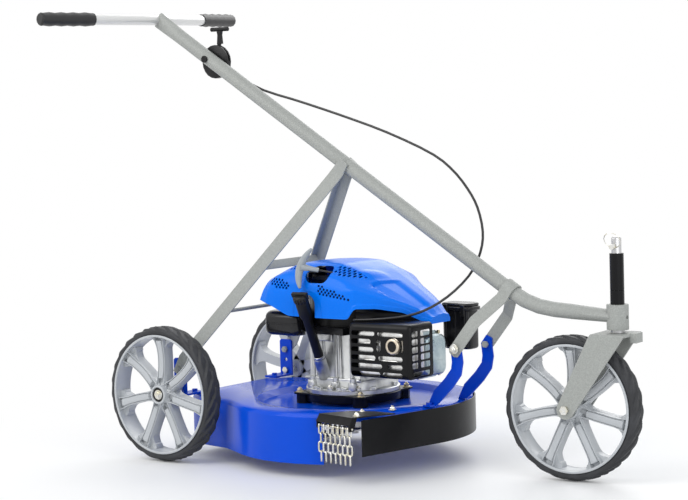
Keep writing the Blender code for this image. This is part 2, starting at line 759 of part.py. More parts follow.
def deck_outline(count):
    """Plan of the deck about its centre: a round front and a waisted rear between the wheels."""
    corner = 0.022
    rear, side, waist = DECK_REAR_X - DECK_X, DECK_REAR_HALF, DECK_WAIST_X - DECK_X
    tangent = math.radians(125)
    shoulder = (DECK_RADIUS * math.cos(tangent), DECK_RADIUS * math.sin(tangent))
    half = [(shoulder[0], shoulder[1])]
    half += [(waist + 0.030, side + 0.0185), (waist + 0.008, side + 0.004), (waist - 0.020, side)]
    for i in range(5):
        angle = math.radians(90 + 90 * i / 4)
        half.append((rear + corner + corner * math.cos(angle), side - corner + corner * math.sin(angle)))
    half.append((rear, 0.0))
    points = []
    for i in range(count):
        angle = 2 * math.pi * i / count - math.pi
        level = abs(angle)
        if level <= tangent:
            points.append((DECK_RADIUS * math.cos(angle), DECK_RADIUS * math.sin(angle)))
            continue
        radius = ray_length(half, level)
        points.append((radius * math.cos(angle), radius * math.sin(angle)))
    return points


def ray_length(chain, angle):
    """Distance from the centre to a chain of points along one direction."""
    ray = Vector((math.cos(angle), math.sin(angle)))
    for a, b in zip(chain, chain[1:]):
        a, b = Vector(a), Vector(b)
        edge = b - a
        bottom = ray.x * edge.y - ray.y * edge.x
        if abs(bottom) < 1e-12:
            continue
        share = (a.y * ray.x - a.x * ray.y) / -bottom
        if -1e-9 <= share <= 1 + 1e-9:
            return (a + edge * share).length
    return Vector(chain[-1]).length


def scaled(outline, inset):
    """An outline drawn in towards the centre by a distance."""
    return [((1 - inset / math.hypot(x, y)) * x, (1 - inset / math.hypot(x, y)) * y) for x, y in outline]


def deck_rings():
    """(outline, height) pairs of the deck's outer surface, from the rim of its wall to the crank hole."""
    plan = deck_outline(DECK_SIDES)
    angles = [math.atan2(y, x) for x, y in plan]

    def round_ring(radius):
        return [(radius * math.cos(a), radius * math.sin(a)) for a in angles]

    bulge = DECK_CORNER
    return [
        (plan, DECK_LOW),
        (plan, DECK_TOP - bulge),
        (scaled(plan, 0.3 * bulge), DECK_TOP - 0.3 * bulge),
        (scaled(plan, bulge), DECK_TOP),
        (round_ring(RECESS_RADIUS + 0.006), DECK_TOP),
        (round_ring(RECESS_RADIUS - 0.006), DECK_TOP - RECESS_DEPTH),
        (round_ring(CRANK_HOLE), DECK_TOP - RECESS_DEPTH),
    ]


def sector(start, end, inner, outer, low, high, steps=14):
    """A wedge-shaped cutter about Z between two angles."""
    angles = [start + (end - start) * i / steps for i in range(steps + 1)]
    outline = [(outer * math.cos(a), outer * math.sin(a)) for a in angles]
    outline += [(inner * math.cos(a), inner * math.sin(a)) for a in reversed(angles)]
    return prism(outline, low, high)


def add_deck(root):
    """The pressed deck: a thin shell whose front and chute sectors have no side wall."""
    outside = [[(x, y, z) for x, y in outline] for outline, z in deck_rings()]
    inside = []
    drops = (0.0, 0.0, 0.6 * DECK_WALL, DECK_WALL, DECK_WALL, DECK_WALL, DECK_WALL)
    insets = (DECK_WALL, DECK_WALL, DECK_WALL, DECK_WALL, -0.001, 0.0, 0.0)
    for (outline, z), drop, inset in zip(deck_rings(), drops, insets):
        inside.append([(x, y, z - drop) for x, y in scaled(outline, inset)])
    shell = lofted(outside + inside[::-1], wrap=True)
    gap = sector(CHUTE_FROM, SKIRT_TO - 0.05, 0.19, 0.40, 0.0, DECK_TOP - 0.019)
    node("deck", cut(shell, gap), "deck_blue", root, place=(DECK_X, 0, 0))


def skirt_path():
    """Plan of the front skirt's outer face, from the chute round the front."""
    radius = DECK_RADIUS + GAP + SKIRT_WALL
    start = Vector((radius * math.cos(CHUTE_TO), radius * math.sin(CHUTE_TO)))
    away = Vector((math.sin(CHUTE_TO), -math.cos(CHUTE_TO)))
    points = [start + away * SKIRT_RUN]
    steps = 18
    for i in range(steps + 1):
        angle = CHUTE_TO + (SKIRT_TO - CHUTE_TO) * i / steps
        points.append(Vector((radius * math.cos(angle), radius * math.sin(angle))))
    return points


def add_skirt(root):
    """A bent steel band that closes the front of the deck."""
    points = skirt_path()
    rings = []
    for i, point in enumerate(points):
        ahead = (points[min(i + 1, len(points) - 1)] - points[max(i - 1, 0)]).normalized()
        inward = Vector((-ahead.y, ahead.x))
        inner = point + inward * SKIRT_WALL
        rings.append([
            (point.x, point.y, SKIRT_LOW), (point.x, point.y, SKIRT_HIGH),
            (inner.x, inner.y, SKIRT_HIGH), (inner.x, inner.y, SKIRT_LOW),
        ])
    node("front_skirt", lofted(rings), "satin_black", root, place=(DECK_X, 0, 0))


def add_chute(root):
    """The roof plate over the discharge, its bent lip with two ears, the rod and the chains."""
    chute = empty("chute", (CHAIN_MIDDLE[0], CHAIN_MIDDLE[1], 0), root, (0, 0, CHUTE_TO))
    low, high = DECK_TOP + GAP, DECK_TOP + 0.0028
    reach = (CHAINS - 1) / 2 * CHAIN_PITCH + 0.0065
    edge, fold = 0.003, 0.0150
    front = [(-reach, edge), (reach, edge), (reach + 0.004, 0.040)]
    roof = prism(front + [(0.075, 0.100), (0.020, 0.092), (-0.024, 0.062)], low, high)
    fall = high - fold
    bend = ((edge + 0.0005, high), (edge - 0.010, fall), (edge - 0.0085, fall - 0.0015), (edge + 0.003, low))
    lip = lofted([[(x, y, z) for y, z in bend] for x in (-reach, reach)])
    ear = (
        (edge + 0.0005, low + 0.001), (edge - 0.008, ROD_Z + 0.007), (-0.006, ROD_Z - 0.005),
        (0.006, ROD_Z - 0.005), (0.016, low + 0.001),
    )
    ears = []
    for x in (-reach, reach - 0.0025):
        ears.append(lofted([[(x + dx, y, z) for y, z in ear] for dx in (0, 0.0025)]))
    hole = rod((-reach - 0.01, 0, ROD_Z), (reach + 0.01, 0, ROD_Z), ROD_RADIUS + GAP, 12)
    node("chute_roof", cut(join(roof, lip, *ears), hole), "satin_black", chute)
    bar = rod((-reach - 0.003, 0, ROD_Z), (reach + 0.003, 0, ROD_Z), ROD_RADIUS, 12)
    node("chain_rod", bar, "zinc", chute)
    strand = strand_mesh()
    for i in range(CHAINS):
        hang = empty(f"chain_{i + 1}_pivot", ((i - (CHAINS - 1) / 2) * CHAIN_PITCH, 0, ROD_Z), chute)
        node(f"chain_{i + 1}", strand.copy(), "zinc", hang, sharp=60)


def link_mesh(middle, turn):
    """One oval chain link about a height, its plane turned about Z; its ends are three straight facets."""
    reach = (LINK_LENGTH - LINK_WIDTH) / 2
    radius = LINK_WIDTH / 2 - WIRE_RADIUS
    mitre = 1 / math.cos(math.radians(30))
    rings = []
    for side in (1, -1):
        for k in range(4):
            angle = math.radians(60 * k + (0 if side > 0 else 180))
            stretch = mitre if k in (1, 2) else 1.0
            out = Vector((math.cos(angle), 0.0, math.sin(angle))) * stretch
            point = Vector((radius * math.cos(angle), 0.0, side * reach + radius * mitre * math.sin(angle)))
            wire = circle(WIRE_RADIUS, WIRE_SIDES, math.pi / WIRE_SIDES)
            rings.append([point + out * u + Vector((0.0, v, 0.0)) for u, v in wire])
    link = lofted(rings, wrap=True)
    link.transform(Matrix.Translation((0, 0, middle)) @ Matrix.Rotation(turn, 4, "Z"))
    return link


def strand_mesh():
    """Links fused where they bear on each other; the top one goes round the rod."""
    bearing = LINK_LENGTH / 2 - WIRE_RADIUS - WIRE_RADIUS * math.cos(math.pi / WIRE_SIDES)
    step = 2 * bearing + 0.0005
    top = ROD_RADIUS + LIFT - bearing
    turns = [math.radians(degrees) for degrees in (90, -38, 50, -38)]
    links = [link_mesh(top - i * step, turns[i]) for i in range(LINKS)]
    return join(links[0], *links[1:])


# Brackets, struts and hanger


def add_axle_brackets(root):
    """Blue uprights that carry the rear wheels, with a foot on the deck, and the axle bolts."""
    for name, side in (("right", -1), ("left", 1)):
        half = BRACKET_WIDTH / 2
        inner, outer = BRACKET_Y - BRACKET_WALL, BRACKET_Y
        foot_top = DECK_TOP + GAP + BRACKET_WALL * 0.9
        edge = [(half, DECK_TOP + GAP), (half, BRACKET_TOP - 0.004), (half - 0.004, BRACKET_TOP)]
        outline = edge + [(-x, z) for x, z in reversed(edge)]
        upright = side_plate(outline, side * inner, side * outer)
        foot = box((-half, half), sorted((side * 0.125, side * (outer - 0.001))), (DECK_TOP + GAP, foot_top))
        holes = []
        for k, radius in enumerate((AXLE_RADIUS, BOLT_RADIUS, BOLT_RADIUS)):
            z = WHEEL_RADIUS + k * HOLE_STEP
            holes.append(rod((0, side * 0.17, z), (0, side * 0.21, z), radius + GAP, 14))
        at = side * 0.140
        screw = hexagon((0, at, foot_top - 0.0005), (0, at, foot_top + 0.005), 0.0065)
        node(f"axle_bracket_{name}", cut(join(upright, foot, screw), *holes), "bracket_blue", root)
        add_axle_bolt(root, name, side, inner, outer)


def add_axle_bolt(root, name, side, inner, outer):
    """The stub axle: a head inside the bracket, a shoulder outside it and a nut beyond the hub."""
    wheel_in = REAR_TRACK / 2 - HUB_LENGTH / 2
    wheel_out = REAR_TRACK / 2 + HUB_LENGTH / 2 - 0.006
    z = WHEEL_RADIUS
    pin = rod((0, side * (inner - 0.004), z), (0, side * (wheel_out + 0.009), z), AXLE_RADIUS, 12)
    head = hexagon((0, side * (inner - GAP), z), (0, side * (inner - 0.0055), z), 0.0077)
    shoulder = rod((0, side * (outer + GAP), z), (0, side * (wheel_in - GAP), z), 0.0105, 12)
    nut = hexagon((0, side * (wheel_out + GAP), z), (0, side * (wheel_out + 0.0065), z), 0.0090)
    node(f"axle_bolt_{name}", join(pin, head, shoulder, nut), "zinc", root)


def strut_frames(side):
    """(point, width direction, face normal) along one strut, flat where it is bolted."""
    foot = Vector((0.0, side * (BRACKET_Y + GAP + STRUT_WALL / 2), WHEEL_RADIUS + 2 * HOLE_STEP))
    top = Vector((STRUT_TOP_X, side * (BOOM_RADIUS + GAP + STRUT_WALL / 2), boom_height(STRUT_TOP_X)))
    flat_run = (Vector((top.x, 0, top.z)) - Vector((foot.x, 0, foot.z))).normalized()
    out = Vector((0.0, side, 0.0))
    width_flat = out.cross(flat_run) * side
    low_bend, high_bend = foot + flat_run * 0.030, top - flat_run * 0.022
    lean = (high_bend - low_bend).normalized()
    normal = (out - lean * out.dot(lean)).normalized()
    width = normal.cross(lean) * side
    return [
        (foot - flat_run * 0.013, width_flat, out), (low_bend - flat_run * 0.004, width_flat, out),
        (low_bend + lean * 0.010, width, normal), (high_bend - lean * 0.012, width, normal),
        (high_bend + flat_run * 0.004, width_flat, out), (top + flat_run * 0.010, width_flat, out),
    ]


def add_struts(root):
    """Angle-section struts from the axle brackets to the boom, flattened at both ends, and two braces."""
    w, t = STRUT_WIDTH / 2, STRUT_WALL / 2
    for name, side in (("right", -1), ("left", 1)):
        frames = strut_frames(side)
        sections = []
        for leg in (0.0, 0.0, STRUT_LEG, STRUT_LEG, 0.0, 0.0):
            inner = [(-w, -t - leg), (-w + 0.8 * STRUT_WALL, -t - leg), (-w + STRUT_WALL, -t)]
            sections.append(inner + [(w, -t), (w, t), (-w, t)])
        sections[0] = [(u * 0.62, v) for u, v in sections[0]]
        sections[-1] = [(u * 0.8, v) for u, v in sections[-1]]
        bar = strip(frames, sections)
        foot = Vector((0.0, side * (BRACKET_Y + GAP), WHEEL_RADIUS + 2 * HOLE_STEP))
        out = Vector((0.0, side, 0.0))
        screw = rod(foot - out * 0.013, foot + out * 0.004, BOLT_RADIUS, 8)
        heads = [
            hexagon(foot + out * (STRUT_WALL - 0.0005), foot + out * (STRUT_WALL + 0.005), 0.0075),
            hexagon(foot - out * (BRACKET_WALL + 2 * GAP), foot - out * (BRACKET_WALL + 0.007), 0.0075),
        ]
        node(f"strut_{name}", join(bar, screw, *heads), "hammertone", root)
    add_brace(root, "brace_upper", 0.4228, 0.022, 0.003)
    add_brace(root, "brace_lower", 0.3235, 0.008, 0.008)


def add_brace(root, name, level, wide, thick):
    """A cross bar between the two struts' inner faces."""
    low, high = strut_frames(1)[2][0], strut_frames(1)[3][0]
    share = (level - low.z) / (high.z - low.z)
    point = low.lerp(high, share)
    normal = strut_frames(1)[3][2]
    reach = point.y - (STRUT_WALL / 2 + GAP) / normal.y - 0.0105 * abs(normal.z / normal.y)
    lean = Matrix.Rotation(math.radians(-38), 4, "Y")
    outline = rounded_box(thick, wide, min(thick, wide) * 0.3, 1)
    bar = lofted([[(x, y, z) for x, z in outline] for y in (-reach, reach)])
    bar.transform(Matrix.Translation((point.x, 0.0, point.z)) @ lean)
    node(name, bar, "hammertone", root)


def add_hanger(root):
    """The grey strap over the boom and the two blue legs that it is bolted to."""
    along = Vector((math.cos(BOOM_SLOPE), 0.0, math.sin(BOOM_SLOPE)))
    over = Vector((-math.sin(BOOM_SLOPE), 0.0, math.cos(BOOM_SLOPE)))
    across = Vector((0.0, 1.0, 0.0))
    crest = boom_point(HANGER_X)
    radius = BOOM_RADIUS + 3 * GAP + HANGER_WALL / 2
    down_width = Vector((0.767, 0.0, -0.642))
    knee = Vector((0.707, 0.0, 0.3236))
    bolt_at = Vector((HANGER_BOLT[0], 0.0, HANGER_BOLT[1]))
    leg_run = (knee - bolt_at).normalized()
    path = []
    for side in (-1, 1):
        out = across * side
        run = [
            (bolt_at - leg_run * 0.0125 + out * HANGER_Y, down_width, out),
            (bolt_at - leg_run * 0.007 + out * HANGER_Y, down_width, out),
            (knee - leg_run * 0.004 + out * HANGER_Y, down_width, out),
            (crest - over * 0.016 + out * radius, along, (out + over * 0.25).normalized()),
        ]
        path.append(run)
    arc = []
    for i in range(9):
        angle = math.radians(-90 + 180 * i / 8)
        normal = over * math.cos(angle) + across * math.sin(angle)
        arc.append((crest + normal * radius, along, normal))
    frames = path[0] + arc + path[1][::-1]
    sections = [flat_bar(HANGER_WIDTH, HANGER_WALL) for _ in frames]
    sections[0] = sections[-1] = flat_bar(HANGER_WIDTH * 0.5, HANGER_WALL)
    strap = strip(frames, sections)
    screws = []
    for side in (-1, 1):
        out = across * side
        face = bolt_at + out * HANGER_Y
        screws.append(rod(face - out * 0.012, face + out * 0.004, BOLT_RADIUS, 12))
        screws.append(hexagon(face + out * 0.0015, face + out * 0.0075, 0.0085))
        screws.append(hexagon(face - out * 0.0080, face - out * 0.0145, 0.0075))
    node("front_hanger", join(strap, *screws), "hammertone", root)
    add_front_legs(root)


def add_front_legs(root):
    """Blue bars bent edgewise from the hanger bolts down to feet on the deck."""
    centre = [
        (0.6600, 0.2745), HANGER_BOLT, (0.6560, 0.2330), (0.6520, 0.2120), (0.6330, 0.1880), (0.6040, 0.1600),
        (0.5880, 0.1415),
    ]
    half = HANGER_WIDTH / 2
    left, right = [], []
    for i, (x, z) in enumerate(centre):
        ahead = Vector(centre[min(i + 1, len(centre) - 1)]) - Vector(centre[max(i - 1, 0)])
        side = Vector((-ahead.y, ahead.x)).normalized()
        size = half * (0.55 if i == 0 else 1.0)
        left.append((x + side.x * size, z + side.y * size))
        right.append((x - side.x * size, z - side.y * size))
    floor = DECK_TOP + GAP
    left[-1], right[-1] = (left[-1][0], floor), (right[-1][0], floor)
    for name, side in (("right", -1), ("left", 1)):
        outer = HANGER_Y - HANGER_WALL / 2 - GAP
        inner = outer - HANGER_WALL
        leg = side_plate(left + right[::-1], side * inner, side * outer)
        reach = sorted((side * (inner + 0.001), side * (outer + 0.018)))
        toe = box((right[-1][0] + 0.001, left[-1][0] - 0.001), reach, (floor, floor + 0.004))
        at = ((left[-1][0] + right[-1][0]) / 2, side * (outer + 0.0095))
        screw = hexagon((*at, floor + 0.0035), (*at, floor + 0.009), 0.0065)
        ends = [(HANGER_BOLT[0], side * y, HANGER_BOLT[1]) for y in (0.02, 0.08)]
        hole = rod(*ends, BOLT_RADIUS + GAP, 12)
        node(f"front_leg_{name}", cut(join(leg, toe, screw), hole), "bracket_blue", root)


# Engine


def add_engine_plate(engine):
    """The black adapter: a dished disc with four ears on standoffs that stand in the deck's recess."""
    under, rim = PLATE_TOP - 0.004, PLATE_RADIUS - 0.003
    skirt = PLATE_TOP - PLATE_DEPTH
    profile = [(0.050, under), (rim, under), (rim, skirt), (PLATE_RADIUS, skirt)]
    disc = turned(profile + [(PLATE_RADIUS, PLATE_TOP), (0.050, PLATE_TOP)], 24, wrap=True)
    ears, feet = [], []
    for k in range(4):
        angle = math.radians(45 + 90 * k)
        turn = Matrix.Rotation(angle, 4, "Z")
        half = [(0.088, 0.045), (0.122, 0.014), (0.130, 0.006)]
        plan = [(x, -y) for x, y in half] + half[::-1]
        ear = prism(plan, PLATE_TOP - 0.0038, PLATE_TOP - 0.0002)
        ears.append(moved(ear, turn))
        plan = [(x + 0.108, y) for x, y in circle(0.017, 8)]
        foot = prism(plan, DECK_TOP - RECESS_DEPTH + GAP, PLATE_TOP - 0.002)
        feet.append(moved(foot, turn))
    node("engine_plate", join(disc, *ears, *feet), "satin_black", engine)


def add_crankcase(engine):
    """Cast sump flange, crankcase with upright ribs and the boss for the filler tube."""
    flange = turned([(0.102, CASE_LOW), (0.102, CASE_LOW + 0.009)], 24)
    sump = prism(rounded_box(0.164, 0.150, 0.030, 3), CASE_LOW + 0.008, CASE_LOW + 0.029)
    plan = [(x - 0.001, y) for x, y in rounded_box(0.146, 0.136, 0.022, 2)]
    case = prism(plan, CASE_LOW + 0.028, CASE_HIGH)
    rise = (CASE_LOW + 0.020, CASE_HIGH - 0.004)
    ribs = [box((x - 0.003, x + 0.003), (-0.073, -0.060), rise) for x in (-0.052, 0.010, 0.022)]
    ribs += [box((-0.080, -0.066), (y - 0.003, y + 0.003), rise) for y in (-0.040, -0.015, 0.030)]
    foot, head = tube_ends()
    way = (head - foot).normalized()
    boss = rod(foot - way * 0.050, foot - way * GAP, TUBE_RADIUS + 0.003, 14)
    lugs = []
    for angle in (205, 250, 290, 335, 25, 110):
        x, y = 0.092 * math.cos(math.radians(angle)), 0.092 * math.sin(math.radians(angle))
        lugs.append(rod((x, y, CASE_LOW + 0.001), (x, y, CASE_LOW + 0.016), 0.0075, 6))
    barrel = rod((0.05, 0, CYLINDER_Z), (0.094, 0, CYLINDER_Z), 0.044, 20)
    body = join(flange, sump, case, barrel, boss, *ribs, *lugs)
    bore = rod((0, 0, 0.1), (0, 0, 0.4), CRANK_RADIUS + GAP, 16)
    dip = rod(foot - way * 0.045, foot + way * 0.01, 0.0055, 12)
    node("crankcase", cut(body, bore, dip), "cast_aluminium", engine)


def tube_ends():
    """Ends of the oil filler tube, from the engine's axis."""
    return Vector(TUBE_FOOT) - Vector((ENGINE_X, 0, 0)), Vector(TUBE_HEAD) - Vector((ENGINE_X, 0, 0))


def across_plate(outline, low, high):
    """A plate about the cylinder's centre line with this (y, z) outline, between two x values."""
    return lofted([[(x, y, CYLINDER_Z + z) for y, z in outline] for x in (low, high)])


def add_cylinder(engine):
    """Finned barrel and head, the pressed valve cover and the spark plug with its boot."""
    start = 0.094 + GAP
    fins = []
    for i in range(5):
        x = start + 0.003 + 0.0115 * i
        fins.append(across_plate(rounded_box(0.104, 0.098, 0.012, 1), x, x + 0.0035))
    core = across_plate(circle(0.040, 16), start, 0.165)
    head = across_plate(rounded_box(0.098, 0.098, 0.014, 1), 0.155, 0.198)
    levels = [CYLINDER_Z + dz for dz in (-0.038, -0.022, 0.022, 0.036)]
    head_fins = [box((0.160, 0.192), (-0.056, 0.056), (z, z + 0.003)) for z in levels]
    node("cylinder", join(core, *fins, head, *head_fins), "cast_aluminium", engine)
    cover = lofted([
        [(x, y, CYLINDER_Z + z) for y, z in rounded_box(0.080 * k, 0.092 * k, 0.016 * k, 2)]
        for x, k in ((0.198 + GAP, 1.08), (0.201, 1.08), (0.2015, 0.98), (0.222, 0.94), (0.228, 0.86))
    ])
    node("valve_cover", cover, "zinc", engine)


def add_muffler(engine):
    """A pressed muffler box with an outlet, inside a slotted guard."""
    x0, x1 = GUARD_X[0] - ENGINE_X + 0.012, GUARD_X[1] - ENGINE_X - 0.014
    y0, y1 = GUARD_Y[0] + 0.008, GUARD_Y[1] - 0.002
    z0, z1 = GUARD_Z[0] + GUARD_RISE + 0.006, GUARD_Z[1] - 0.010
    middle = ((x0 + x1) / 2, (z0 + z1) / 2)
    body = lofted([
        [(middle[0] + u * k, y, middle[1] + v * k) for u, v in rounded_box(x1 - x0, z1 - z0, 0.016, 1)]
        for y, k in ((y0, 0.90), (y0 + 0.004, 1.0), (y1 - 0.004, 1.0), (y1, 0.92))
    ])
    x, z = outlet_place()
    pipe = rod((x, y0 + 0.003, z), (x, GUARD_Y[0] - 0.006, z), OUTLET_RADIUS, 20)
    hole = rod((x, GUARD_Y[0] - 0.02, z), (x, GUARD_Y[0] + 0.006, z), OUTLET_RADIUS - 0.003, 20)
    stub = rod((0.135, y1 - 0.004, CYLINDER_Z + 0.01), (0.135, -0.0525, CYLINDER_Z + 0.01), 0.014, 14)
    node("muffler", cut(join(body, pipe, stub), hole), "steel", engine)
    add_guard(engine)


def outlet_place():
    """(x, z) of the exhaust outlet, from the engine's axis."""
    return 0.5480 - ENGINE_X, 0.2660


def add_guard(engine):
    """The black guard: an open-backed box with rows of round-ended slots."""
    x = (GUARD_X[0] - ENGINE_X, GUARD_X[1] - ENGINE_X)
    corners = ((0, GUARD_Z[0] + GUARD_RISE), (1, GUARD_Z[0]), (1, GUARD_Z[1]), (0, GUARD_Z[1]))
    outer = side_plate([(x[side], z) for side, z in corners], *GUARD_Y)
    inner = []
    for side, z in corners:
        inner.append((x[side] + GUARD_WALL * (1 - 2 * side), z + GUARD_WALL * (1 if z < GUARD_Z[1] else -1)))
    hollow = side_plate(inner, GUARD_Y[0] + GUARD_WALL, GUARD_Y[1] + 0.01)
    slots = []
    width = x[1] - x[0]
    pitch = (GUARD_Z[1] - GUARD_Z[0] - 0.016) / 6
    splits = (0.52, 0.47, 0.50, 0.50, 0.58, 0.55)
    outlet = outlet_place()
    for row in range(6):
        z = GUARD_Z[1] - 0.010 - (pitch - 0.0012) * (row + 0.45)
        share = splits[row]
        runs = [(0.06, share - 0.03), (share + 0.03, 0.95)]
        if row in (1, 2):
            runs = [(0.06, share - 0.05)]
        for a, b in runs:
            outline = oblong((b - a) * width, pitch * 0.58, 2)
            middle = x[0] + (a + b) / 2 * width
            outline = [(middle + u, z + v) for u, v in outline]
            slots.append(side_plate(outline, GUARD_Y[0] - 0.01, GUARD_Y[0] + 0.006))
    ends = [(outlet[0], GUARD_Y[0] + dy, outlet[1]) for dy in (-0.01, 0.006)]
    slots.append(rod(*ends, OUTLET_RADIUS + 0.0035, 20))
    depth = GUARD_Y[1] - GUARD_Y[0]
    for row in range(5):
        z = GUARD_Z[1] - 0.014 - pitch * 1.15 * (row + 0.4)
        for a, b in ((0.14, 0.48), (0.56, 0.92)):
            outline = rounded_box((b - a) * depth, pitch * 0.75, 0.004, 1)
            middle = GUARD_Y[0] + (a + b) / 2 * depth
            ends = (x[1] - 0.006, x[1] + 0.01)
            slots.append(lofted([[(end, middle + u, z + v) for u, v in outline] for end in ends]))
    node("muffler_guard", cut(outer, hollow, *slots), "satin_black", engine)


def add_intake(engine):
    """Carburettor and the air filter box on the far side of the cylinder."""
    body = box((0.140, 0.185), (0.0565, 0.082), (CYLINDER_Z - 0.020, CYLINDER_Z + 0.026))
    bowl = rod((0.163, 0.079, CYLINDER_Z - 0.048), (0.163, 0.079, CYLINDER_Z - 0.018), 0.018, 16)
    node("carburettor", join(body, bowl), "cast_aluminium", engine)
    x, y = FILTER_AT
    filter_box = prism([(x + u, y + v) for u, v in rounded_box(0.078, 0.046, 0.010, 2)], 0.236, 0.325)
    neck = rod((0.178, y - 0.020, CYLINDER_Z + 0.014), (0.178, 0.0825, CYLINDER_Z + 0.014), 0.012, 14)
    lid = prism([(x + u, y + v) for u, v in rounded_box(0.084, 0.052, 0.012, 2)], 0.3245, 0.3360)
    node("air_filter_box", join(filter_box, neck, lid), "black_plastic", engine)


def add_tank(engine):
    """The fuel tank, wrapped round the rear of the crankcase, with a tall neck in its far corner."""
    low, high = 0.2755, TANK_TOP
    plan = [
        (-0.142, -0.116), (-0.126, -0.132), (-0.048, -0.132), (-0.046, -0.093), (-0.091, -0.089),
        (-0.093, 0.114), (-0.128, 0.120), (-0.142, 0.104),
    ]
    middle = (-0.105, -0.020)
    rings = []
    for k, z in ((0.96, low), (1.0, low + 0.006), (1.0, high - 0.006), (0.96, high)):
        rings.append([(middle[0] + (x - middle[0]) * k, middle[1] + (y - middle[1]) * k, z) for x, y in plan])
    tank = lofted(rings)
    x, y = NECK_AT
    neck = rod((x, y, high - 0.002), (x, y, NECK_TOP), 0.015, 16)
    well = rod((x, y, high - 0.030), (x, y, NECK_TOP + 0.02), 0.0125, 16)
    node("fuel_tank", cut(join(tank, neck), well), "black_plastic", engine)


def cowl_section(x):
    """(y, z) points of the cowl's cross-section at one station, near edge to far edge."""
    stations = (
        (-0.140, 0.120, 0.108, 0.352, 0.384, 0.401, 0.085),
        (-0.132, 0.134, 0.120, 0.350, 0.396, 0.414, 0.090),
        (-0.105, 0.1375, 0.124, 0.343, 0.408, 0.431, 0.090),
        (-0.055, 0.1385, 0.125, 0.322, 0.408, 0.4345, 0.088),
        (0.000, 0.1385, 0.125, 0.3200, 0.406, 0.4350, 0.084),
        (0.055, 0.1380, 0.125, 0.3200, 0.401, 0.4335, 0.078),
        (0.106, 0.1360, 0.124, 0.3200, 0.388, 0.4160, 0.068),
        (0.118, 0.1330, 0.120, 0.3420, 0.384, 0.4100, 0.066),
        (0.160, 0.1080, 0.100, 0.3420, 0.369, 0.3880, 0.054),
        (0.205, 0.0720, 0.072, 0.3320, 0.350, 0.3620, 0.040),
        (0.236, 0.0460, 0.046, 0.3120, 0.334, 0.3420, 0.030),
        (0.252, 0.0340, 0.034, 0.3060, 0.316, 0.3200, 0.024),
    )
    for a, b in zip(stations, stations[1:]):
        if x <= b[0] + 1e-9:
            t = (x - a[0]) / (b[0] - a[0])
            _, near, far, low, shoulder, top, flat = [p + (q - p) * t for p, q in zip(a, b)]
            break
    rise, crown = shoulder - low, top - shoulder
    near_side = [
        (-near, low), (-near * 0.995, low + 0.5 * rise), (-near * 0.965, low + 0.85 * rise),
        (-near * 0.90, shoulder + 0.25 * crown),
    ]
    roof = [(-flat, top - 0.0015), (-flat * 0.4, top), (flat * 0.4, top - 0.001), (flat * 0.85, top - 0.004)]
    far_side = [
        (far * 0.90, shoulder + 0.2 * crown), (far * 0.97, low + 0.85 * rise),
        (far * 0.995, low + 0.5 * rise), (far, low),
    ]
    return near_side + roof + far_side


def add_cowl(engine):
    """The blue moulded cowl: a lofted shell, cut for the filler tube, the starter's rope and the fuel cap."""
    bm = bmesh.new()
    stations = (-0.140, -0.132, -0.105, -0.055, 0.0, 0.055, 0.106, 0.118, 0.160, 0.205, 0.236, 0.252)
    rows = [[bm.verts.new((x + COWL_SHIFT, y, z)) for y, z in cowl_section(x)] for x in stations]
    for a, b in zip(rows, rows[1:]):
        for i in range(len(a) - 1):
            bm.faces.new((a[i], a[i + 1], b[i + 1], b[i]))
    bm.faces.new(rows[0][::-1])
    bm.faces.new(rows[-1])
    mesh = mesh_of(bm, "cowl")
    shell = bpy.data.objects.new("cowl_skin", mesh)
    bpy.context.scene.collection.objects.link(shell)
    thick = shell.modifiers.new("wall", "SOLIDIFY")
    thick.thickness = COWL_WALL
    thick.offset = -1
    graph = bpy.context.evaluated_depsgraph_get()
    cowl = bpy.data.meshes.new_from_object(shell.evaluated_get(graph))
    bpy.data.objects.remove(shell, do_unlink=True)
    foot, head = tube_ends()
    arch = side_plate([(head.x - 0.003 + u, 0.330 + v) for u, v in oblong(0.044, 0.078, 4)], -0.17, -0.10)
    recess = side_plate([(0.012 + u, 0.411 + v) for u, v in oblong(0.070, 0.034, 3)], -0.16, -0.075)
    x, y = NECK_AT
    cap_hole = rod((x, y, 0.370), (x, y, 0.450), CAP_RADIUS + 0.0035, 16)
    node("cowl", cut(cowl, arch, recess, cap_hole), "cowl_blue", engine, sharp=22)


def add_blower(engine):
    """The black blower housing under the cowl and the recoil starter above the flywheel."""
    base = 0.2815
    top = 0.296
    plan = [
        (-0.060, -0.075), (-0.030, -0.088), (0.062, -0.112), (0.068, -0.060), (0.090, -0.056),
        (0.090, 0.080), (0.060, 0.105), (-0.060, 0.105), (-0.086, 0.060), (-0.086, -0.050),
    ]
    floor = prism(plan, base, top)
    hole = rod((0, 0, 0.2), (0, 0, 0.5), CRANK_RADIUS + 0.0006, 16)
    wall = [(0.085, top - 0.001), (0.088, top - 0.001), (0.088, 0.392), (0.085, 0.395)]
    drum = turned(wall + [(0.018, 0.395), (0.018, 0.392), (0.085, 0.392)], 18, wrap=True)
    node("blower_housing", cut(join(floor, drum), hole), "black_plastic", engine)


def add_starter(engine):
    """The recoil starter's tee handle on its rope, standing at the recess in the cowl."""
    pull = Vector((-0.820, -0.500, 0.200)).normalized()
    eye = Vector((0.0147, -0.1240, 0.4206))
    pivot = empty("starter_pull", eye, engine)
    neck = rod(pull * 0.0, pull * 0.036, 0.0055, 8)
    centre = pull * 0.040
    sections = []
    for i in range(7):
        t = -1 + 2 * i / 6
        height = 0.047 * t
        bow = 0.017 * t * t
        half = 0.0068 - 0.0030 * t * t
        point = centre + Vector((bow + 0.020 * t, -0.004 * t * t, height))
        sections.append([point + Vector((half * 1.25 * u, half * 0.85 * v, 0.0)) for u, v in circle(1.0, 8)])
    rope = rod(-pull * 0.030, pull * 0.006, 0.0022, 6)
    node("starter_handle", join(lofted(sections), neck, rope), "hammertone", pivot)


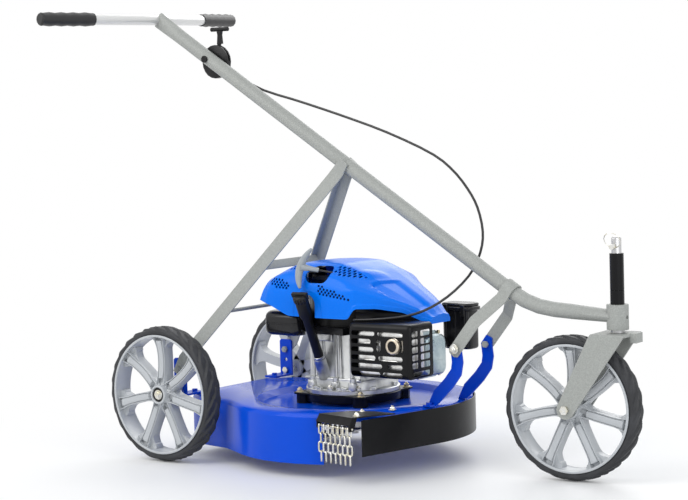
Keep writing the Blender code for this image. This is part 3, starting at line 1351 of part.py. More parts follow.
def add_filler(engine):
    """The oil filler tube with a wider neck, and its cap on a dipstick."""
    foot, head = tube_ends()
    way = head - foot
    length = way.length
    turn = Matrix.Translation(foot) @ way.to_track_quat("Z", "Y").to_matrix().to_4x4()
    bore = TUBE_RADIUS - 0.0035
    collar = TUBE_RADIUS + 0.0045
    outer = [(TUBE_RADIUS, 0.0), (TUBE_RADIUS, length - 0.045), (collar, length - 0.030), (collar, length)]
    pipe = turned([(bore, 0.0)] + outer + [(bore, length)], 14, wrap=True)
    pipe.transform(turn)
    node("oil_filler_tube", pipe, "black_plastic", engine)
    pivot = empty("oil_cap_pivot", head, engine, way.to_track_quat("Z", "Y").to_euler())
    cap = turned([(0.0150, GAP), (0.0158, 0.003), (0.0158, 0.013), (0.0125, 0.0165)], 14)
    ears = box((-0.0185, 0.0185), (-0.0040, 0.0040), (0.0125, 0.0215))
    stick = box((-0.0022, 0.0022), (-0.0008, 0.0008), (-DIPSTICK_LENGTH, 0.002))
    plug = rod((0, 0, -0.010), (0, 0, 0.002), bore - 0.0006, 12)
    node("oil_cap", join(cap, ears, plug, stick), "black_plastic", pivot)


def add_fuel_cap(engine):
    """The fuel cap on the tank's neck, with a bar to turn it by."""
    pivot = empty("fuel_cap_pivot", (*NECK_AT, NECK_TOP), engine)
    cap = turned([(CAP_RADIUS, GAP), (CAP_RADIUS, 0.009), (CAP_RADIUS - 0.0025, 0.012)], 16)
    bar = box((-0.0150, 0.0150), (-0.0035, 0.0035), (0.0110, 0.0180))
    node("fuel_cap", join(cap, bar), "black_plastic", pivot)


def add_crankshaft(engine):
    """The upright crankshaft with its flywheel, and the blade on the lower end."""
    pivot = empty("crank_pivot", (0, 0, 0), engine)
    seat = BLADE_Z + 0.004 + GAP
    shaft = turned(
        [
            (0.009, BLADE_Z - 0.010), (0.009, seat), (0.024, seat), (0.024, BLADE_Z + 0.030),
            (CRANK_RADIUS, BLADE_Z + 0.034), (CRANK_RADIUS, 0.300),
            (0.080, 0.305), (0.080, 0.318), (0.012, 0.332), (0.012, 0.356),
        ],
        16,
    )
    node("crankshaft", shaft, "steel", pivot)
    half, width = BLADE_HALF, BLADE_WIDTH / 2
    low, high = BLADE_Z, BLADE_Z + 0.004
    stations = ((half, 0.008), (half - 0.070, 0.004), (half - 0.090, 0.0))
    rings = []
    for y, raised in stations:
        edge = [(-width, low + raised), (width, low), (width, high), (-width, high + raised)]
        rings.append([(x, y, z) for x, z in edge])
    rings += [[(-x, -y, z) for x, y, z in (ring[1], ring[0], ring[3], ring[2])] for ring in reversed(rings)]
    hole = rod((0, 0, 0), (0, 0, 0.2), 0.009 + GAP, 16)
    blade = cut(lofted(rings), hole)
    node("blade", blade, "steel", pivot)


def add_engine(root):
    engine = empty("engine", (ENGINE_X, 0, 0), root)
    add_engine_plate(engine)
    add_crankcase(engine)
    add_cylinder(engine)
    add_muffler(engine)
    add_intake(engine)
    add_tank(engine)
    add_cowl(engine)
    add_blower(engine)
    add_starter(engine)
    add_filler(engine)
    add_fuel_cap(engine)
    add_crankshaft(engine)


def centre_lengthways(root):
    """Shift the whole machine so that the origin is under the middle of its length."""
    bpy.context.view_layer.update()
    along = []
    for thing in bpy.data.objects:
        if thing.type == "MESH":
            along += [(thing.matrix_world @ vertex.co).x for vertex in thing.data.vertices]
    root.location.x = -round((min(along) + max(along)) / 2, 4)


def build():
    clear_scene()
    bpy.context.scene.unit_settings.system = "METRIC"
    root = empty("mower", (0, 0, 0))
    caster = empty("caster", (SPINDLE_X, 0, 0), root, (0, 0, CASTER_REST_TURN))
    add_wheels(root, caster)
    add_fork(caster)
    add_spindle(caster)
    add_boom(root)
    add_handlebar(root)
    add_throttle(root)
    add_cable(root)
    add_deck(root)
    add_skirt(root)
    add_chute(root)
    add_axle_brackets(root)
    add_struts(root)
    add_hanger(root)
    add_engine(root)
    centre_lengthways(root)


build()
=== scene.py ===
"""Looks of a three-wheeled side-discharge lawn mower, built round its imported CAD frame.

Run as a script: it loads the frame, makes the studio, dresses every solid and adds the moulded,
pressed and bent detail. Lengths are metres, +X runs forward to the caster wheel, -Y is the side
with the discharge chute.
"""

import json
import math

import bmesh
import bpy
import numpy as np
from bpy.props import FloatProperty, FloatVectorProperty, IntProperty, PointerProperty
from mathutils import Matrix, Vector
from mathutils.bvhtree import BVHTree


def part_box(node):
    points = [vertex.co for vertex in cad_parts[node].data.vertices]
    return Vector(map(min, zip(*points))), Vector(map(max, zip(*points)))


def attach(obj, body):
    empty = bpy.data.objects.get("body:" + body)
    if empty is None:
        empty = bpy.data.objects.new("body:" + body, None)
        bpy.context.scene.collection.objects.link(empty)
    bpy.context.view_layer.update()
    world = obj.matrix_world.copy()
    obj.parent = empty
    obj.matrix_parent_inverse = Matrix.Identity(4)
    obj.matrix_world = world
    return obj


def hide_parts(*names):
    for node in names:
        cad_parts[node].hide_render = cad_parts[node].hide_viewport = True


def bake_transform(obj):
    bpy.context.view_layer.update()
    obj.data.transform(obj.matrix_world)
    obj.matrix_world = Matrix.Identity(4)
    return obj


bl_info = {
    "name": "Lawn mower dressing",
    "version": (1, 0, 0),
    "blender": (4, 5, 0),
    "location": "View3D > Sidebar > Mower",
    "description": "Dresses the packed lawn mower: wheels, cowl, engine, chains, frame and studio",
    "category": "Object",
}

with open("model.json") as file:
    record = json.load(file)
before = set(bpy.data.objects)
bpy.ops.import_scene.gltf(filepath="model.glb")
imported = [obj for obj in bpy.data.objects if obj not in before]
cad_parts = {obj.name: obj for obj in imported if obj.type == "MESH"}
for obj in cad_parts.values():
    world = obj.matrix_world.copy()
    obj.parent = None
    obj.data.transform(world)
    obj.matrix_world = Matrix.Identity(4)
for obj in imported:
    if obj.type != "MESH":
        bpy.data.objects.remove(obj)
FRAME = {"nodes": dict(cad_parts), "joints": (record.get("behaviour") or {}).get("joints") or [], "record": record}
NODES = FRAME["nodes"]
BODIES = {node: body for body, nodes in FRAME["record"]["behaviour"]["bodies"].items() for node in nodes}

# Camera that takes the photograph's view
CAMERA_PLACE = (2.7614, -3.667, 0.8139)
CAMERA_AZIMUTH = math.radians(37.6659)
CAMERA_ELEVATION = math.radians(4.4482)
CAMERA_ROLL = math.radians(-1.6853)
FOCAL_PIXELS = 2132.98
FRAME_WIDTH = 688
SENSOR_WIDTH = 36

# Places taken from the CAD model
ENGINE_X = -0.0547
WHEEL_RADIUS = 0.149
REAR_AXLE = (-0.3927, 0.2374, 0.149)
SPOKES = 7
OUTLET_X = 0.1640
OUTLET_Z = 0.2705
CAP_PLACE = (ENGINE_X - 0.112, 0.028, 0)
STARTER_EYE = Vector((-0.0400, -0.1240, 0.4206))
OIL_FOOT = (-0.0752, -0.0900, 0.2270)
OIL_NECK = (-0.0662, -0.1560, 0.3560)

# Sizes of what the scene models
SPOKE_TURN = math.radians(38.6)
SPOKE_START = 0.0150
SPOKE_END = 0.1285
TANK_TOP = 0.3280
COWL_WALL = 0.0022
GUARD_WALL = 0.0018
VENT_RADIUS = 0.0033
VENT_PITCH = 0.0092
VENT_ROW_STEP = 0.0052
CASE_BOLT_CIRCLE = 0.094
PLATE_BOLT_CIRCLE = 0.1175
ROPE_RADIUS = 0.0021

# The floor glows a little near the mower and fades to the backdrop between two distances
FLOOR_GLOW = 0.04
FADE_START = 0.45
FADE_END = 1.15
WORLD_LIGHT = 0.62

# How the CAD solids' loose triangles are joined, and the angle past which an edge stays sharp
MERGE_REACH = 0.00002
FLAT_ANGLE = math.radians(0.4)
SHARP = 38.0


# Settings


class MowerColours(bpy.types.PropertyGroup):
    """Colours of the mower's finishes."""

    frame: FloatVectorProperty(
        name="Frame", description="Hammered paint of the boom, struts and fork", subtype="COLOR",
        default=(0.36, 0.37, 0.35),
    )
    deck: FloatVectorProperty(
        name="Deck", description="Gloss paint of the cutter deck", subtype="COLOR", default=(0.0, 0.078, 0.70)
    )
    bracket: FloatVectorProperty(
        name="Brackets", description="Paint of the axle brackets and front legs", subtype="COLOR",
        default=(0.0, 0.060, 0.62),
    )
    cowl: FloatVectorProperty(
        name="Cowl", description="Moulded engine cowl", subtype="COLOR", default=(0.0, 0.185, 0.90)
    )
    wheel: FloatVectorProperty(
        name="Wheels", description="Moulded wheel centres", subtype="COLOR", default=(0.50, 0.52, 0.54)
    )
    tyre: FloatVectorProperty(
        name="Tyres", description="Rubber of the tyres", subtype="COLOR", default=(0.022, 0.023, 0.026)
    )


class MowerSizes(bpy.types.PropertyGroup):
    """Sizes of the detail that the scene adds."""

    lugs: IntProperty(name="Tread lugs", description="Lugs round each tyre", default=26, min=12, max=60)
    lug_depth: FloatProperty(
        name="Lug depth", description="How far the grooves are cut into the tread", unit="LENGTH",
        default=0.0042,
    )
    chamfer: FloatProperty(
        name="Chamfer", description="Small bevel on every hard edge of the solids", unit="LENGTH",
        default=0.0006,
    )


# Shader expressions


class Socket:
    """A shader socket that takes part in Python expressions; every operator adds its Math node."""

    def __init__(self, shader, out):
        self.shader, self.out = shader, out

    def __add__(self, other):
        return self.shader.node("ShaderNodeMath", {"operation": "ADD"}, (self, other))

    def __mul__(self, other):
        return self.shader.node("ShaderNodeMath", {"operation": "MULTIPLY"}, (self, other))

    __radd__ = __add__
    __rmul__ = __mul__

    def clamped(self):
        """The value held between 0 and 1."""
        return self.shader.node("ShaderNodeClamp", {}, (self, 0.0, 1.0))

    def between(self, low, high):
        """Smooth step: 0 under low, 1 above high."""
        settings = {"interpolation_type": "SMOOTHSTEP"}
        return self.shader.node("ShaderNodeMapRange", settings, (self, low, high, 0.0, 1.0))


class Nodes:
    """A tree of shader nodes, of the world or of a material."""

    def __init__(self, tree):
        self.tree = tree

    def node(self, kind, settings, values=(), out=0):
        """Any node: its settings first, then the values or links of its sockets, by order or by name."""
        made = self.tree.nodes.new(kind)
        for key, value in settings.items():
            setattr(made, key, value)
        for key, value in values.items() if isinstance(values, dict) else enumerate(values):
            if isinstance(value, Socket):
                self.tree.links.new(value.out, made.inputs[key])
            else:
                made.inputs[key].default_value = value
        return Socket(self, made.outputs[out])

    def seen(self):
        """1 for a ray from the camera or a ray off a mirror or through glass, 0 for any other."""
        kinds = ("Is Camera Ray", "Is Glossy Ray", "Is Transmission Ray")
        camera, gloss, through = (self.node("ShaderNodeLightPath", {}, (), kind) for kind in kinds)
        return (camera + gloss + through).clamped()


class Shader(Nodes):
    """The nodes of one material."""

    def __init__(self, name):
        self.material = bpy.data.materials.new(name)
        self.material.use_nodes = True
        super().__init__(self.material.node_tree)
        self.principled = self.tree.nodes["Principled BSDF"]
        self.place = self.node("ShaderNodeTexCoord", {}, (), "Object")

    def noise(self, scale, detail, place=None):
        """Fractal noise from 0 to 1, in the object's own coordinates unless a place is given."""
        values = {"Vector": place or self.place, "Scale": scale, "Detail": detail, "Roughness": 0.5}
        return self.node("ShaderNodeTexNoise", {}, values, "Fac")

    def cells(self, scale, smooth):
        """Smooth cell distance, for dimples."""
        values = {"Vector": self.place, "Scale": scale, "Smoothness": smooth}
        return self.node("ShaderNodeTexVoronoi", {"feature": "SMOOTH_F1"}, values, "Distance")

    def mix(self, share, first, second):
        """Colour mixed by a share."""
        values = {0: share, 6: colour4(first), 7: colour4(second)}
        return self.node("ShaderNodeMix", {"data_type": "RGBA"}, values, 2)

    def bump(self, height, distance, strength):
        """A normal tilted by the slope of a height."""
        return self.node("ShaderNodeBump", {}, {"Strength": strength, "Distance": distance, "Height": height})

    def set(self, **inputs):
        """Values or links for the Principled shader; underscores stand for spaces."""
        for key, value in inputs.items():
            socket = self.principled.inputs[key.replace("_", " ")]
            if isinstance(value, Socket):
                self.tree.links.new(value.out, socket)
            else:
                socket.default_value = colour4(value)
        return self.material


def colour4(value):
    """A colour with its alpha, or the value itself."""
    return (*value, 1.0) if isinstance(value, tuple) and len(value) == 3 else value


# Finishes


def tint(name, share=1.0):
    """One of the colour settings, made darker or lighter."""
    return tuple(c * share for c in getattr(bpy.context.scene.mower_colours, name))


def hammertone():
    """Hammered grey stove paint: small smooth dimples with lighter crests."""
    s = Shader("hammertone")
    dimples = s.cells(420.0, 0.8)
    lift = (dimples * 0.6 + s.noise(500.0, 1.0) * 0.4).between(0.20, 0.70)
    base = s.mix(lift, tint("frame", 0.88), tint("frame", 1.14))
    base = s.mix(s.noise(9.0, 3.0) * 0.25, base, tint("frame", 0.9))
    return s.set(
        Base_Color=base, Roughness=lift * 0.10 + 0.44, Specular_IOR_Level=0.15, Coat_Weight=0.03,
        Coat_Roughness=0.25, Normal=s.bump(dimples, 0.0003, 0.05),
    )


def zinc():
    """Bright zinc plate with faint yellow passivate patches."""
    s = Shader("zinc")
    drift = s.noise(60.0, 3.0)
    base = s.mix(drift.between(0.35, 0.7), (0.78, 0.78, 0.76), (0.70, 0.66, 0.52))
    rough = s.cells(140.0, 0.2) * 0.18 + 0.18
    return s.set(Base_Color=base, Roughness=rough, Metallic=1.0, Normal=s.bump(drift, 0.0003, 0.15))


def steel():
    """Bare steel, drawn along its length, with slight browning."""
    s = Shader("steel")
    drawn = s.node("ShaderNodeVectorMath", {"operation": "MULTIPLY"}, (s.place, (1.0, 1.0, 14.0)))
    lines = s.noise(90.0, 3.0, drawn)
    base = s.mix(s.noise(26.0, 3.0).between(0.5, 0.8) * 0.5, (0.56, 0.56, 0.57), (0.46, 0.39, 0.31))
    rough = lines * 0.2 + 0.24
    return s.set(Base_Color=base, Roughness=rough, Metallic=1.0, Normal=s.bump(lines, 0.0002, 0.2))


def two_tone(
    name, tone, colours, rise=None, share=None, grain=None, rough=None, relief=None, bump=None, **fixed
):
    """A finish of two colours that one noise mixes, with a noise in its roughness and its bump.

    tone, grain and relief are a noise's (scale, detail). Without a grain the tone takes its place, and
    without a relief the grain. rise is where the tone eases in and share its weight, rough is (change,
    base) and bump (distance, strength). A colour is a setting's name and share, or red, green and blue.
    """
    s = Shader(name)
    cloud = s.noise(*tone)
    fine = s.noise(*grain) if grain else cloud
    mixed = cloud.between(*rise) if rise else cloud
    mixed = mixed * share if share else mixed
    if rough:
        fixed["Roughness"] = fine * rough[0] + rough[1]
    if bump:
        fixed["Normal"] = s.bump(s.noise(*relief) if relief else fine, *bump)
    first, second = (tint(*c) if isinstance(c[0], str) else c for c in colours)
    return s.set(Base_Color=s.mix(mixed, first, second), **fixed)


ENAMEL = dict(
    tone=(14, 3), relief=(260, 2), bump=(0.0003, 0.12), Specular_IOR_Level=0.12, Coat_Weight=0.07,
    Coat_Roughness=0.04,
)
FINISHES = {
    # Gloss enamel with faint orange peel
    "deck_blue": dict(colours=(("deck", 0.86), ("deck", 1.0)), rough=(0.06, 0.16), **ENAMEL),
    "bracket_blue": dict(colours=(("bracket", 0.86), ("bracket", 1.0)), rough=(0.06, 0.26), **ENAMEL),
    # Moulded plastic: fine grain, soft sheen
    "cowl_blue": dict(
        tone=(7, 2), colours=(("cowl", 0.90), ("cowl", 1.0)), grain=(900, 1), rough=(0.08, 0.24),
        bump=(0.0002, 0.10), Specular_IOR_Level=0.15, Coat_Weight=0.05, Coat_Roughness=0.10,
    ),
    # Black powder coat with its fine pebble
    "satin_black": dict(
        tone=(30, 4), rise=(0.55, 0.75), share=0.5, colours=((0.005, 0.005, 0.006), (0.014, 0.014, 0.016)),
        grain=(620, 2), rough=(0.12, 0.24), bump=(0.0003, 0.12), Specular_IOR_Level=0.16, Coat_Weight=0.06,
        Coat_Roughness=0.1,
    ),
    # Black moulded plastic with a fine texture
    "black_plastic": dict(
        tone=(22, 4), rise=(0.5, 0.8), share=0.4, colours=((0.006, 0.006, 0.007), (0.018, 0.018, 0.020)),
        grain=(800, 2), rough=(0.12, 0.34), bump=(0.0003, 0.15), Specular_IOR_Level=0.3,
    ),
    # Sand-cast aluminium: grainy skin with darker hollows
    "cast_aluminium": dict(
        tone=(35, 4), rise=(0.42, 0.75), share=0.7, colours=((0.66, 0.67, 0.67), (0.30, 0.31, 0.32)),
        grain=(480, 3), rough=(0.22, 0.24), bump=(0.0006, 0.35), Metallic=1.0,
    ),
    # Grey moulded wheel centre, slightly glossy
    "wheel_grey": dict(
        tone=(12, 3), colours=(("wheel", 0.90), ("wheel", 1.06)), grain=(700, 1), rough=(0.1, 0.34),
        bump=(0.0002, 0.12), Coat_Weight=0.15,
    ),
    # Grey-black tyre rubber with mould bloom
    "tyre_rubber": dict(
        tone=(24, 4), rise=(0.35, 0.75), colours=(("tyre", 1.0), ("tyre", 1.75)), grain=(640, 2),
        rough=(0.14, 0.56), bump=(0.0003, 0.25),
    ),
    # Soft black rubber of the hand grips
    "grip_rubber": dict(
        tone=(60, 2), colours=((0.008, 0.008, 0.009), (0.018, 0.018, 0.019)), grain=(900, 2),
        rough=(0.16, 0.32), bump=(0.0003, 0.2),
    ),
    # Silver-white painted handlebar
    "silver_bar": dict(
        tone=(1100, 1), colours=((0.62, 0.62, 0.61), (0.80, 0.80, 0.79)), rough=(0.12, 0.26), Metallic=0.55,
        Coat_Weight=0.4,
    ),
    # Heat-tinted exhaust ring
    "brass": dict(
        tone=(120, 3), colours=((0.62, 0.50, 0.36), (0.72, 0.68, 0.60)), rough=(0.2, 0.25), Metallic=1.0
    ),
    # Smooth black cable sleeve and starter rope
    "cable_black": dict(
        tone=(40, 2), colours=((0.010, 0.010, 0.011), (0.022, 0.021, 0.021)), grain=(1200, 1),
        rough=(0.1, 0.30), bump=(0.0002, 0.1),
    ),
    # Aluminised sheet of the muffler: bright, with soft flow marks
    "bright_steel": dict(
        tone=(60, 3), rise=(0.4, 0.7), colours=((0.86, 0.86, 0.85), (0.66, 0.65, 0.63)), rough=(0.2, 0.22),
        bump=(0.0006, 0.3), Metallic=0.9,
    ),
    # Blue-passivated zinc on the pressed valve cover
    "zinc_blue": dict(
        tone=(45, 3), rise=(0.35, 0.7), colours=((0.36, 0.45, 0.49), (0.52, 0.60, 0.62)), rough=(0.2, 0.20),
        bump=(0.0004, 0.2), Metallic=0.85,
    ),
    # Yellow-passivated fasteners
    "yellow_zinc": dict(
        tone=(180, 3), rise=(0.3, 0.7), colours=((0.74, 0.68, 0.52), (0.66, 0.56, 0.34)), rough=(0.2, 0.24),
        Metallic=1.0,
    ),
    # Light grey moulded plastic of the starter's handle
    "light_plastic": dict(
        tone=(50, 3), colours=((0.30, 0.33, 0.35), (0.40, 0.43, 0.45)), grain=(700, 2), rough=(0.14, 0.34),
        bump=(0.0003, 0.2),
    ),
    # Blow-moulded black plastic with a wet sheen
    "gloss_black": dict(
        tone=(20, 3), colours=((0.006, 0.006, 0.007), (0.016, 0.016, 0.018)), grain=(70, 2),
        rough=(0.1, 0.14), bump=(0.0006, 0.15), Specular_IOR_Level=0.3, Coat_Weight=0.08,
    ),
    # Painted shade: matt near-black that stands for the shade inside an open mouth
    "soot": dict(tone=(90, 2), colours=((0.004, 0.004, 0.004), (0.010, 0.009, 0.009)), Roughness=0.9),
}
OTHER_FINISHES = {"hammertone": hammertone, "zinc": zinc, "steel": steel}
MATERIALS = {}


def finish(name):
    """The material of one finish, made on first use."""
    if name not in MATERIALS:
        other = OTHER_FINISHES.get(name)
        MATERIALS[name] = other() if other else two_tone(name, **FINISHES[name])
    return MATERIALS[name]


# Surfaces


def grid_faces(rows, columns, wrap_rows, wrap_columns):
    """Quads of a grid of points, numbered row by row, with either direction joined end to end."""
    r = np.arange(rows if wrap_rows else rows - 1)
    c = np.arange(columns if wrap_columns else columns - 1)
    r, c = np.meshgrid(r, c, indexing="ij")
    r2, c2 = (r + 1) % rows, (c + 1) % columns
    corners = (r * columns + c, r * columns + c2, r2 * columns + c2, r2 * columns + c)
    return np.stack(corners, -1).reshape(-1, 4)


def shell(points, loop=False):
    """A closed shell from a grid of points (rows, columns, 3): quads, and a flat cap on each open end."""
    points = np.asarray(points, float)
    rows, columns = points.shape[:2]
    faces = grid_faces(rows, columns, loop, True).tolist()
    if not loop:
        faces.append(list(range(columns))[::-1])
        faces.append(list(range((rows - 1) * columns, rows * columns)))
    return points.reshape(-1, 3), faces


def gather(shells):
    """Several shells as one list of points and one of faces."""
    points, faces, start = [], [], 0
    for verts, quads in shells:
        points.append(verts)
        faces.extend([[i + start for i in face] for face in quads])
        start += len(verts)
    return np.concatenate(points), faces


def moved(shells, matrix):
    """Shells carried by a 4x4 matrix."""
    m = np.array(matrix, float)
    return [(verts @ m[:3, :3].T + m[:3, 3], faces) for verts, faces in shells]


def added(name, data):
    """A new object, linked to the scene."""
    made = bpy.data.objects.new(name, data)
    bpy.context.scene.collection.objects.link(made)
    return made


def mesh_of(name, shells):
    """One mesh of several shells, its faces turned outwards."""
    points, faces = gather(shells)
    mesh = bpy.data.meshes.new(name)
    mesh.from_pydata(points.tolist(), [], faces)
    mesh.validate()
    bm = bmesh.new()
    bm.from_mesh(mesh)
    bmesh.ops.recalc_face_normals(bm, faces=bm.faces)
    bm.to_mesh(mesh)
    bm.free()
    return mesh


def piece(name, shells, look, sharp=SHARP, body="chassis", solid=None):
    """A finished piece of several shells."""
    return dress(name, mesh_of(name, shells), look, sharp, body, solid)


def dress(name, mesh, look, sharp, body="chassis", solid=None, bevel=0.0):
    """An object with its finish, shading, bevel and body, and the CAD solid that it stands for."""
    made = added(name, mesh)
    mesh.materials.clear()
    mesh.materials.append(finish(look))
    mesh.shade_smooth()
    mesh.set_sharp_from_angle(angle=math.radians(sharp))
    if bevel:
        edge = made.modifiers.new("chamfer", "BEVEL")
        edge.width = bevel
        edge.segments = 2
        edge.limit_method = "ANGLE"
        edge.angle_limit = math.radians(sharp)
        edge.harden_normals = True
    if body:
        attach(made, body)
    if solid:
        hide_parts(solid)
    return made


def refined(node, look):
    """A CAD solid with its loose triangles joined, shaded round and given chamfered edges."""
    mesh = NODES[node].data.copy()
    bm = bmesh.new()
    bm.from_mesh(mesh)
    bmesh.ops.remove_doubles(bm, verts=bm.verts, dist=MERGE_REACH)
    bmesh.ops.dissolve_limit(bm, angle_limit=FLAT_ANGLE, verts=bm.verts, edges=bm.edges)
    bm.to_mesh(mesh)
    bm.free()
    dress(node + "_skin", mesh, look, SHARP, BODIES[node], node, bpy.context.scene.mower_sizes.chamfer)


def extent(node):
    """The low and high corner of a CAD solid."""
    return [np.array(corner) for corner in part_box(node)]


def axis_of(name):
    """The axis of a joint."""
    return Vector(next(joint["axis"] for joint in FRAME["joints"] if joint["name"] == name))


def around(radius, z, t):
    """Points at the angles t about Z: x = r cos t, y = r sin t."""
    x, y = radius * np.cos(t), radius * np.sin(t)
    return np.stack((x, y, z + 0 * x), -1)


def lathe(profile, sides, loop=False):
    """A profile of (radius, z) points turned about Z."""
    profile = np.asarray(profile, float)
    t = np.linspace(0, 2 * math.pi, sides, endpoint=False)
    return shell(around(profile[:, :1], profile[:, 1:], t), loop)


def rounded(points, radius, samples, closed=False):
    """Points with each corner a quadratic curve that starts and ends a radius away; open ends stay."""
    points = np.asarray(points, float)
    t = np.linspace(0, 1, samples)[:, None]
    curves = []
    for before, corner, after in zip(np.roll(points, 1, 0), points, np.roll(points, -1, 0)):
        a, b = before - corner, after - corner
        reach = min(radius, np.linalg.norm(a) * 0.49, np.linalg.norm(b) * 0.49)
        p, q = corner + a / np.linalg.norm(a) * reach, corner + b / np.linalg.norm(b) * reach
        curves.append(p * (1 - t) ** 2 + 2 * corner * t * (1 - t) + q * t**2)
    if not closed:
        curves[0], curves[-1] = points[:1], points[-1:]
    return np.concatenate(curves)


def rail_frames(path, up, loop=False):
    """Side and up directions along a path, carried so that they never twist suddenly."""
    path = np.asarray(path, float)
    if loop:
        ahead = np.roll(path, -1, 0) - np.roll(path, 1, 0)
    else:
        ahead = np.gradient(path, axis=0)
    ahead /= np.linalg.norm(ahead, axis=1)[:, None]
    side = np.cross(ahead, np.asarray(up, float))
    side /= np.linalg.norm(side, axis=1)[:, None]
    return side, np.cross(side, ahead)


def sweep(path, section, up=(0, 0, 1), scale=None, loop=False):
    """A closed section of (side, up) points carried along a path: p + side u + up v, each step scaled."""
    path = np.asarray(path, float)
    side, over = rail_frames(path, up, loop)
    section = np.asarray(section, float)
    scale = np.ones((len(path), 2)) if scale is None else np.asarray(scale, float)
    u = section[:, 0] * scale[:, :1]
    v = section[:, 1] * scale[:, 1:]
    points = path[:, None] + side[:, None] * u[..., None] + over[:, None] * v[..., None]
    return shell(points, loop)


def ring_section(radius, sides=12):
    """Points round a circle: u = r cos t, v = r sin t."""
    t = np.linspace(0, 2 * math.pi, sides, endpoint=False)
    return np.stack((radius * np.cos(t), radius * np.sin(t)), -1)


def catmull(points, count):
    """A smooth curve through points: a Catmull-Rom spline sampled evenly in its own parameter."""
    p = np.asarray(points, float)
    p = np.vstack((2 * p[0] - p[1], p, 2 * p[-1] - p[-2]))
    t = np.linspace(0, len(p) - 3 - 1e-9, count)
    i = t.astype(int)
    f = (t - i)[:, None]
    a, b, c, d = p[i], p[i + 1], p[i + 2], p[i + 3]
    return 0.5 * (2 * b + (c - a) * f + (2 * a - 5 * b + 4 * c - d) * f**2 + (3 * b - a - 3 * c + d) * f**3)


def along(start, end):
    """Matrix that carries +Z from the origin to a line from start to end."""
    start, end = Vector(start), Vector(end)
    return Matrix.Translation(start) @ (end - start).to_track_quat("Z", "Y").to_matrix().to_4x4()


def turned(profile, sides, start, end, loop=False):
    """A profile turned about the line that runs from a start to an end."""
    return moved([lathe(profile, sides, loop)], along(start, end))


def rod(start, end, radius, sides=20, chamfer=0.0005):
    """A round bar between two points with softened ends."""
    length = (Vector(end) - Vector(start)).length
    c = min(chamfer, radius * 0.4)
    profile = [(radius - c, 0), (radius, c), (radius, length - c), (radius - c, length)]
    return turned(profile, sides, start, end)


def hex_bolt(place, normal, across=0.013, high=0.0055, washer=0.0, stud=0.0):
    """A hexagon head or nut on a face, with its washer and the end of its stud."""
    place, normal = Vector(place), Vector(normal).normalized()
    r = across / math.sqrt(3)
    base = 0.0012 if washer else 0.0
    top = base + high
    shells = []
    if washer:
        disc = [(washer - 0.0003, -0.0004), (washer, 0), (washer, 0.0012), (washer - 0.0004, 0.0015)]
        shells.append(lathe(disc, 24))
    head = [(r * 0.97, base), (r, base + 0.0004), (r, top - 0.0012), (r * 0.86, top)]
    shells.append(lathe(head, 6))
    if stud:
        shells.append(lathe([(stud, top - 0.001), (stud, top + 0.0022), (stud * 0.8, top + 0.003)], 16))
    return moved(shells, along(place, place + normal))


# Stage


def studio():
    """Camera at the photograph's angle, pale floor, white backdrop and soft lamps."""
    azimuth, elevation, roll = CAMERA_AZIMUTH, CAMERA_ELEVATION, CAMERA_ROLL
    level = math.cos(elevation)
    back = Vector((math.sin(azimuth) * level, -math.cos(azimuth) * level, math.sin(elevation)))
    right = Vector((math.cos(azimuth), math.sin(azimuth), 0))
    up = back.cross(right)
    turned_right = right * math.cos(roll) + up * math.sin(roll)
    turned_up = up * math.cos(roll) - right * math.sin(roll)
    placed = Matrix((turned_right, turned_up, back)).transposed().to_4x4()
    placed.translation = Vector(CAMERA_PLACE)
    lens = bpy.data.cameras.new("camera")
    lens.sensor_width = SENSOR_WIDTH
    lens.lens = FOCAL_PIXELS / FRAME_WIDTH * SENSOR_WIDTH
    lens.clip_end = 60
    camera = added("camera", lens)
    camera.matrix_world = placed
    bpy.context.scene.camera = camera
    add_floor()
    add_world()
    add_lamps()
    bpy.context.scene.view_settings.view_transform = "Standard"


def add_floor():
    """A wide pale disc that fades to the white of the backdrop away from the mower."""
    radius = np.array([0.0001, 1.0, 2.0, 4.0, 9.0])
    t = np.linspace(0, 2 * math.pi, 64, endpoint=False)
    points = around(radius[:, None], 0, t).reshape(-1, 3)
    mesh = bpy.data.meshes.new("floor")
    mesh.from_pydata(points.tolist(), [], grid_faces(len(radius), len(t), False, True).tolist())
    floor = added("floor", mesh)
    floor.location = (0, 0, -0.0004)
    s = Shader("floor")
    s.set(Roughness=0.5, Specular_IOR_Level=0.2, Base_Color=(0.88, 0.88, 0.88))
    white = (1, 1, 1, 1)
    backdrop = s.node("ShaderNodeEmission", {}, {"Color": white, "Strength": 1.0})
    glow = s.node("ShaderNodeEmission", {}, {"Color": white, "Strength": FLOOR_GLOW})
    paint = Socket(s, s.principled.outputs[0])
    lit = s.node("ShaderNodeAddShader", {}, (paint, glow))
    length = s.node("ShaderNodeVectorMath", {"operation": "LENGTH"}, (s.place,), "Value")
    far = length.between(FADE_START, FADE_END)
    seen = s.seen()
    near = s.node("ShaderNodeMixShader", {}, (seen, paint, lit))
    mixed = s.node("ShaderNodeMixShader", {}, (far * seen, near, backdrop))
    s.tree.links.new(mixed.out, s.tree.nodes["Material Output"].inputs["Surface"])
    mesh.materials.append(s.material)


def add_world():
    """Even grey light with a white background behind everything that the eye or a mirror sees."""
    world = bpy.data.worlds.new("studio")
    bpy.context.scene.world = world
    world.use_nodes = True
    world.node_tree.nodes.clear()
    s = Nodes(world.node_tree)
    light = s.node("ShaderNodeBackground", {}, {"Color": (0.93, 0.96, 1.0, 1), "Strength": WORLD_LIGHT})
    white = s.node("ShaderNodeBackground", {}, {"Color": (1, 1, 1, 1), "Strength": 1.0})
    mixed = s.node("ShaderNodeMixShader", {}, (s.seen(), light, white))
    out = s.tree.nodes.new("ShaderNodeOutputWorld")
    s.tree.links.new(mixed.out, out.inputs["Surface"])


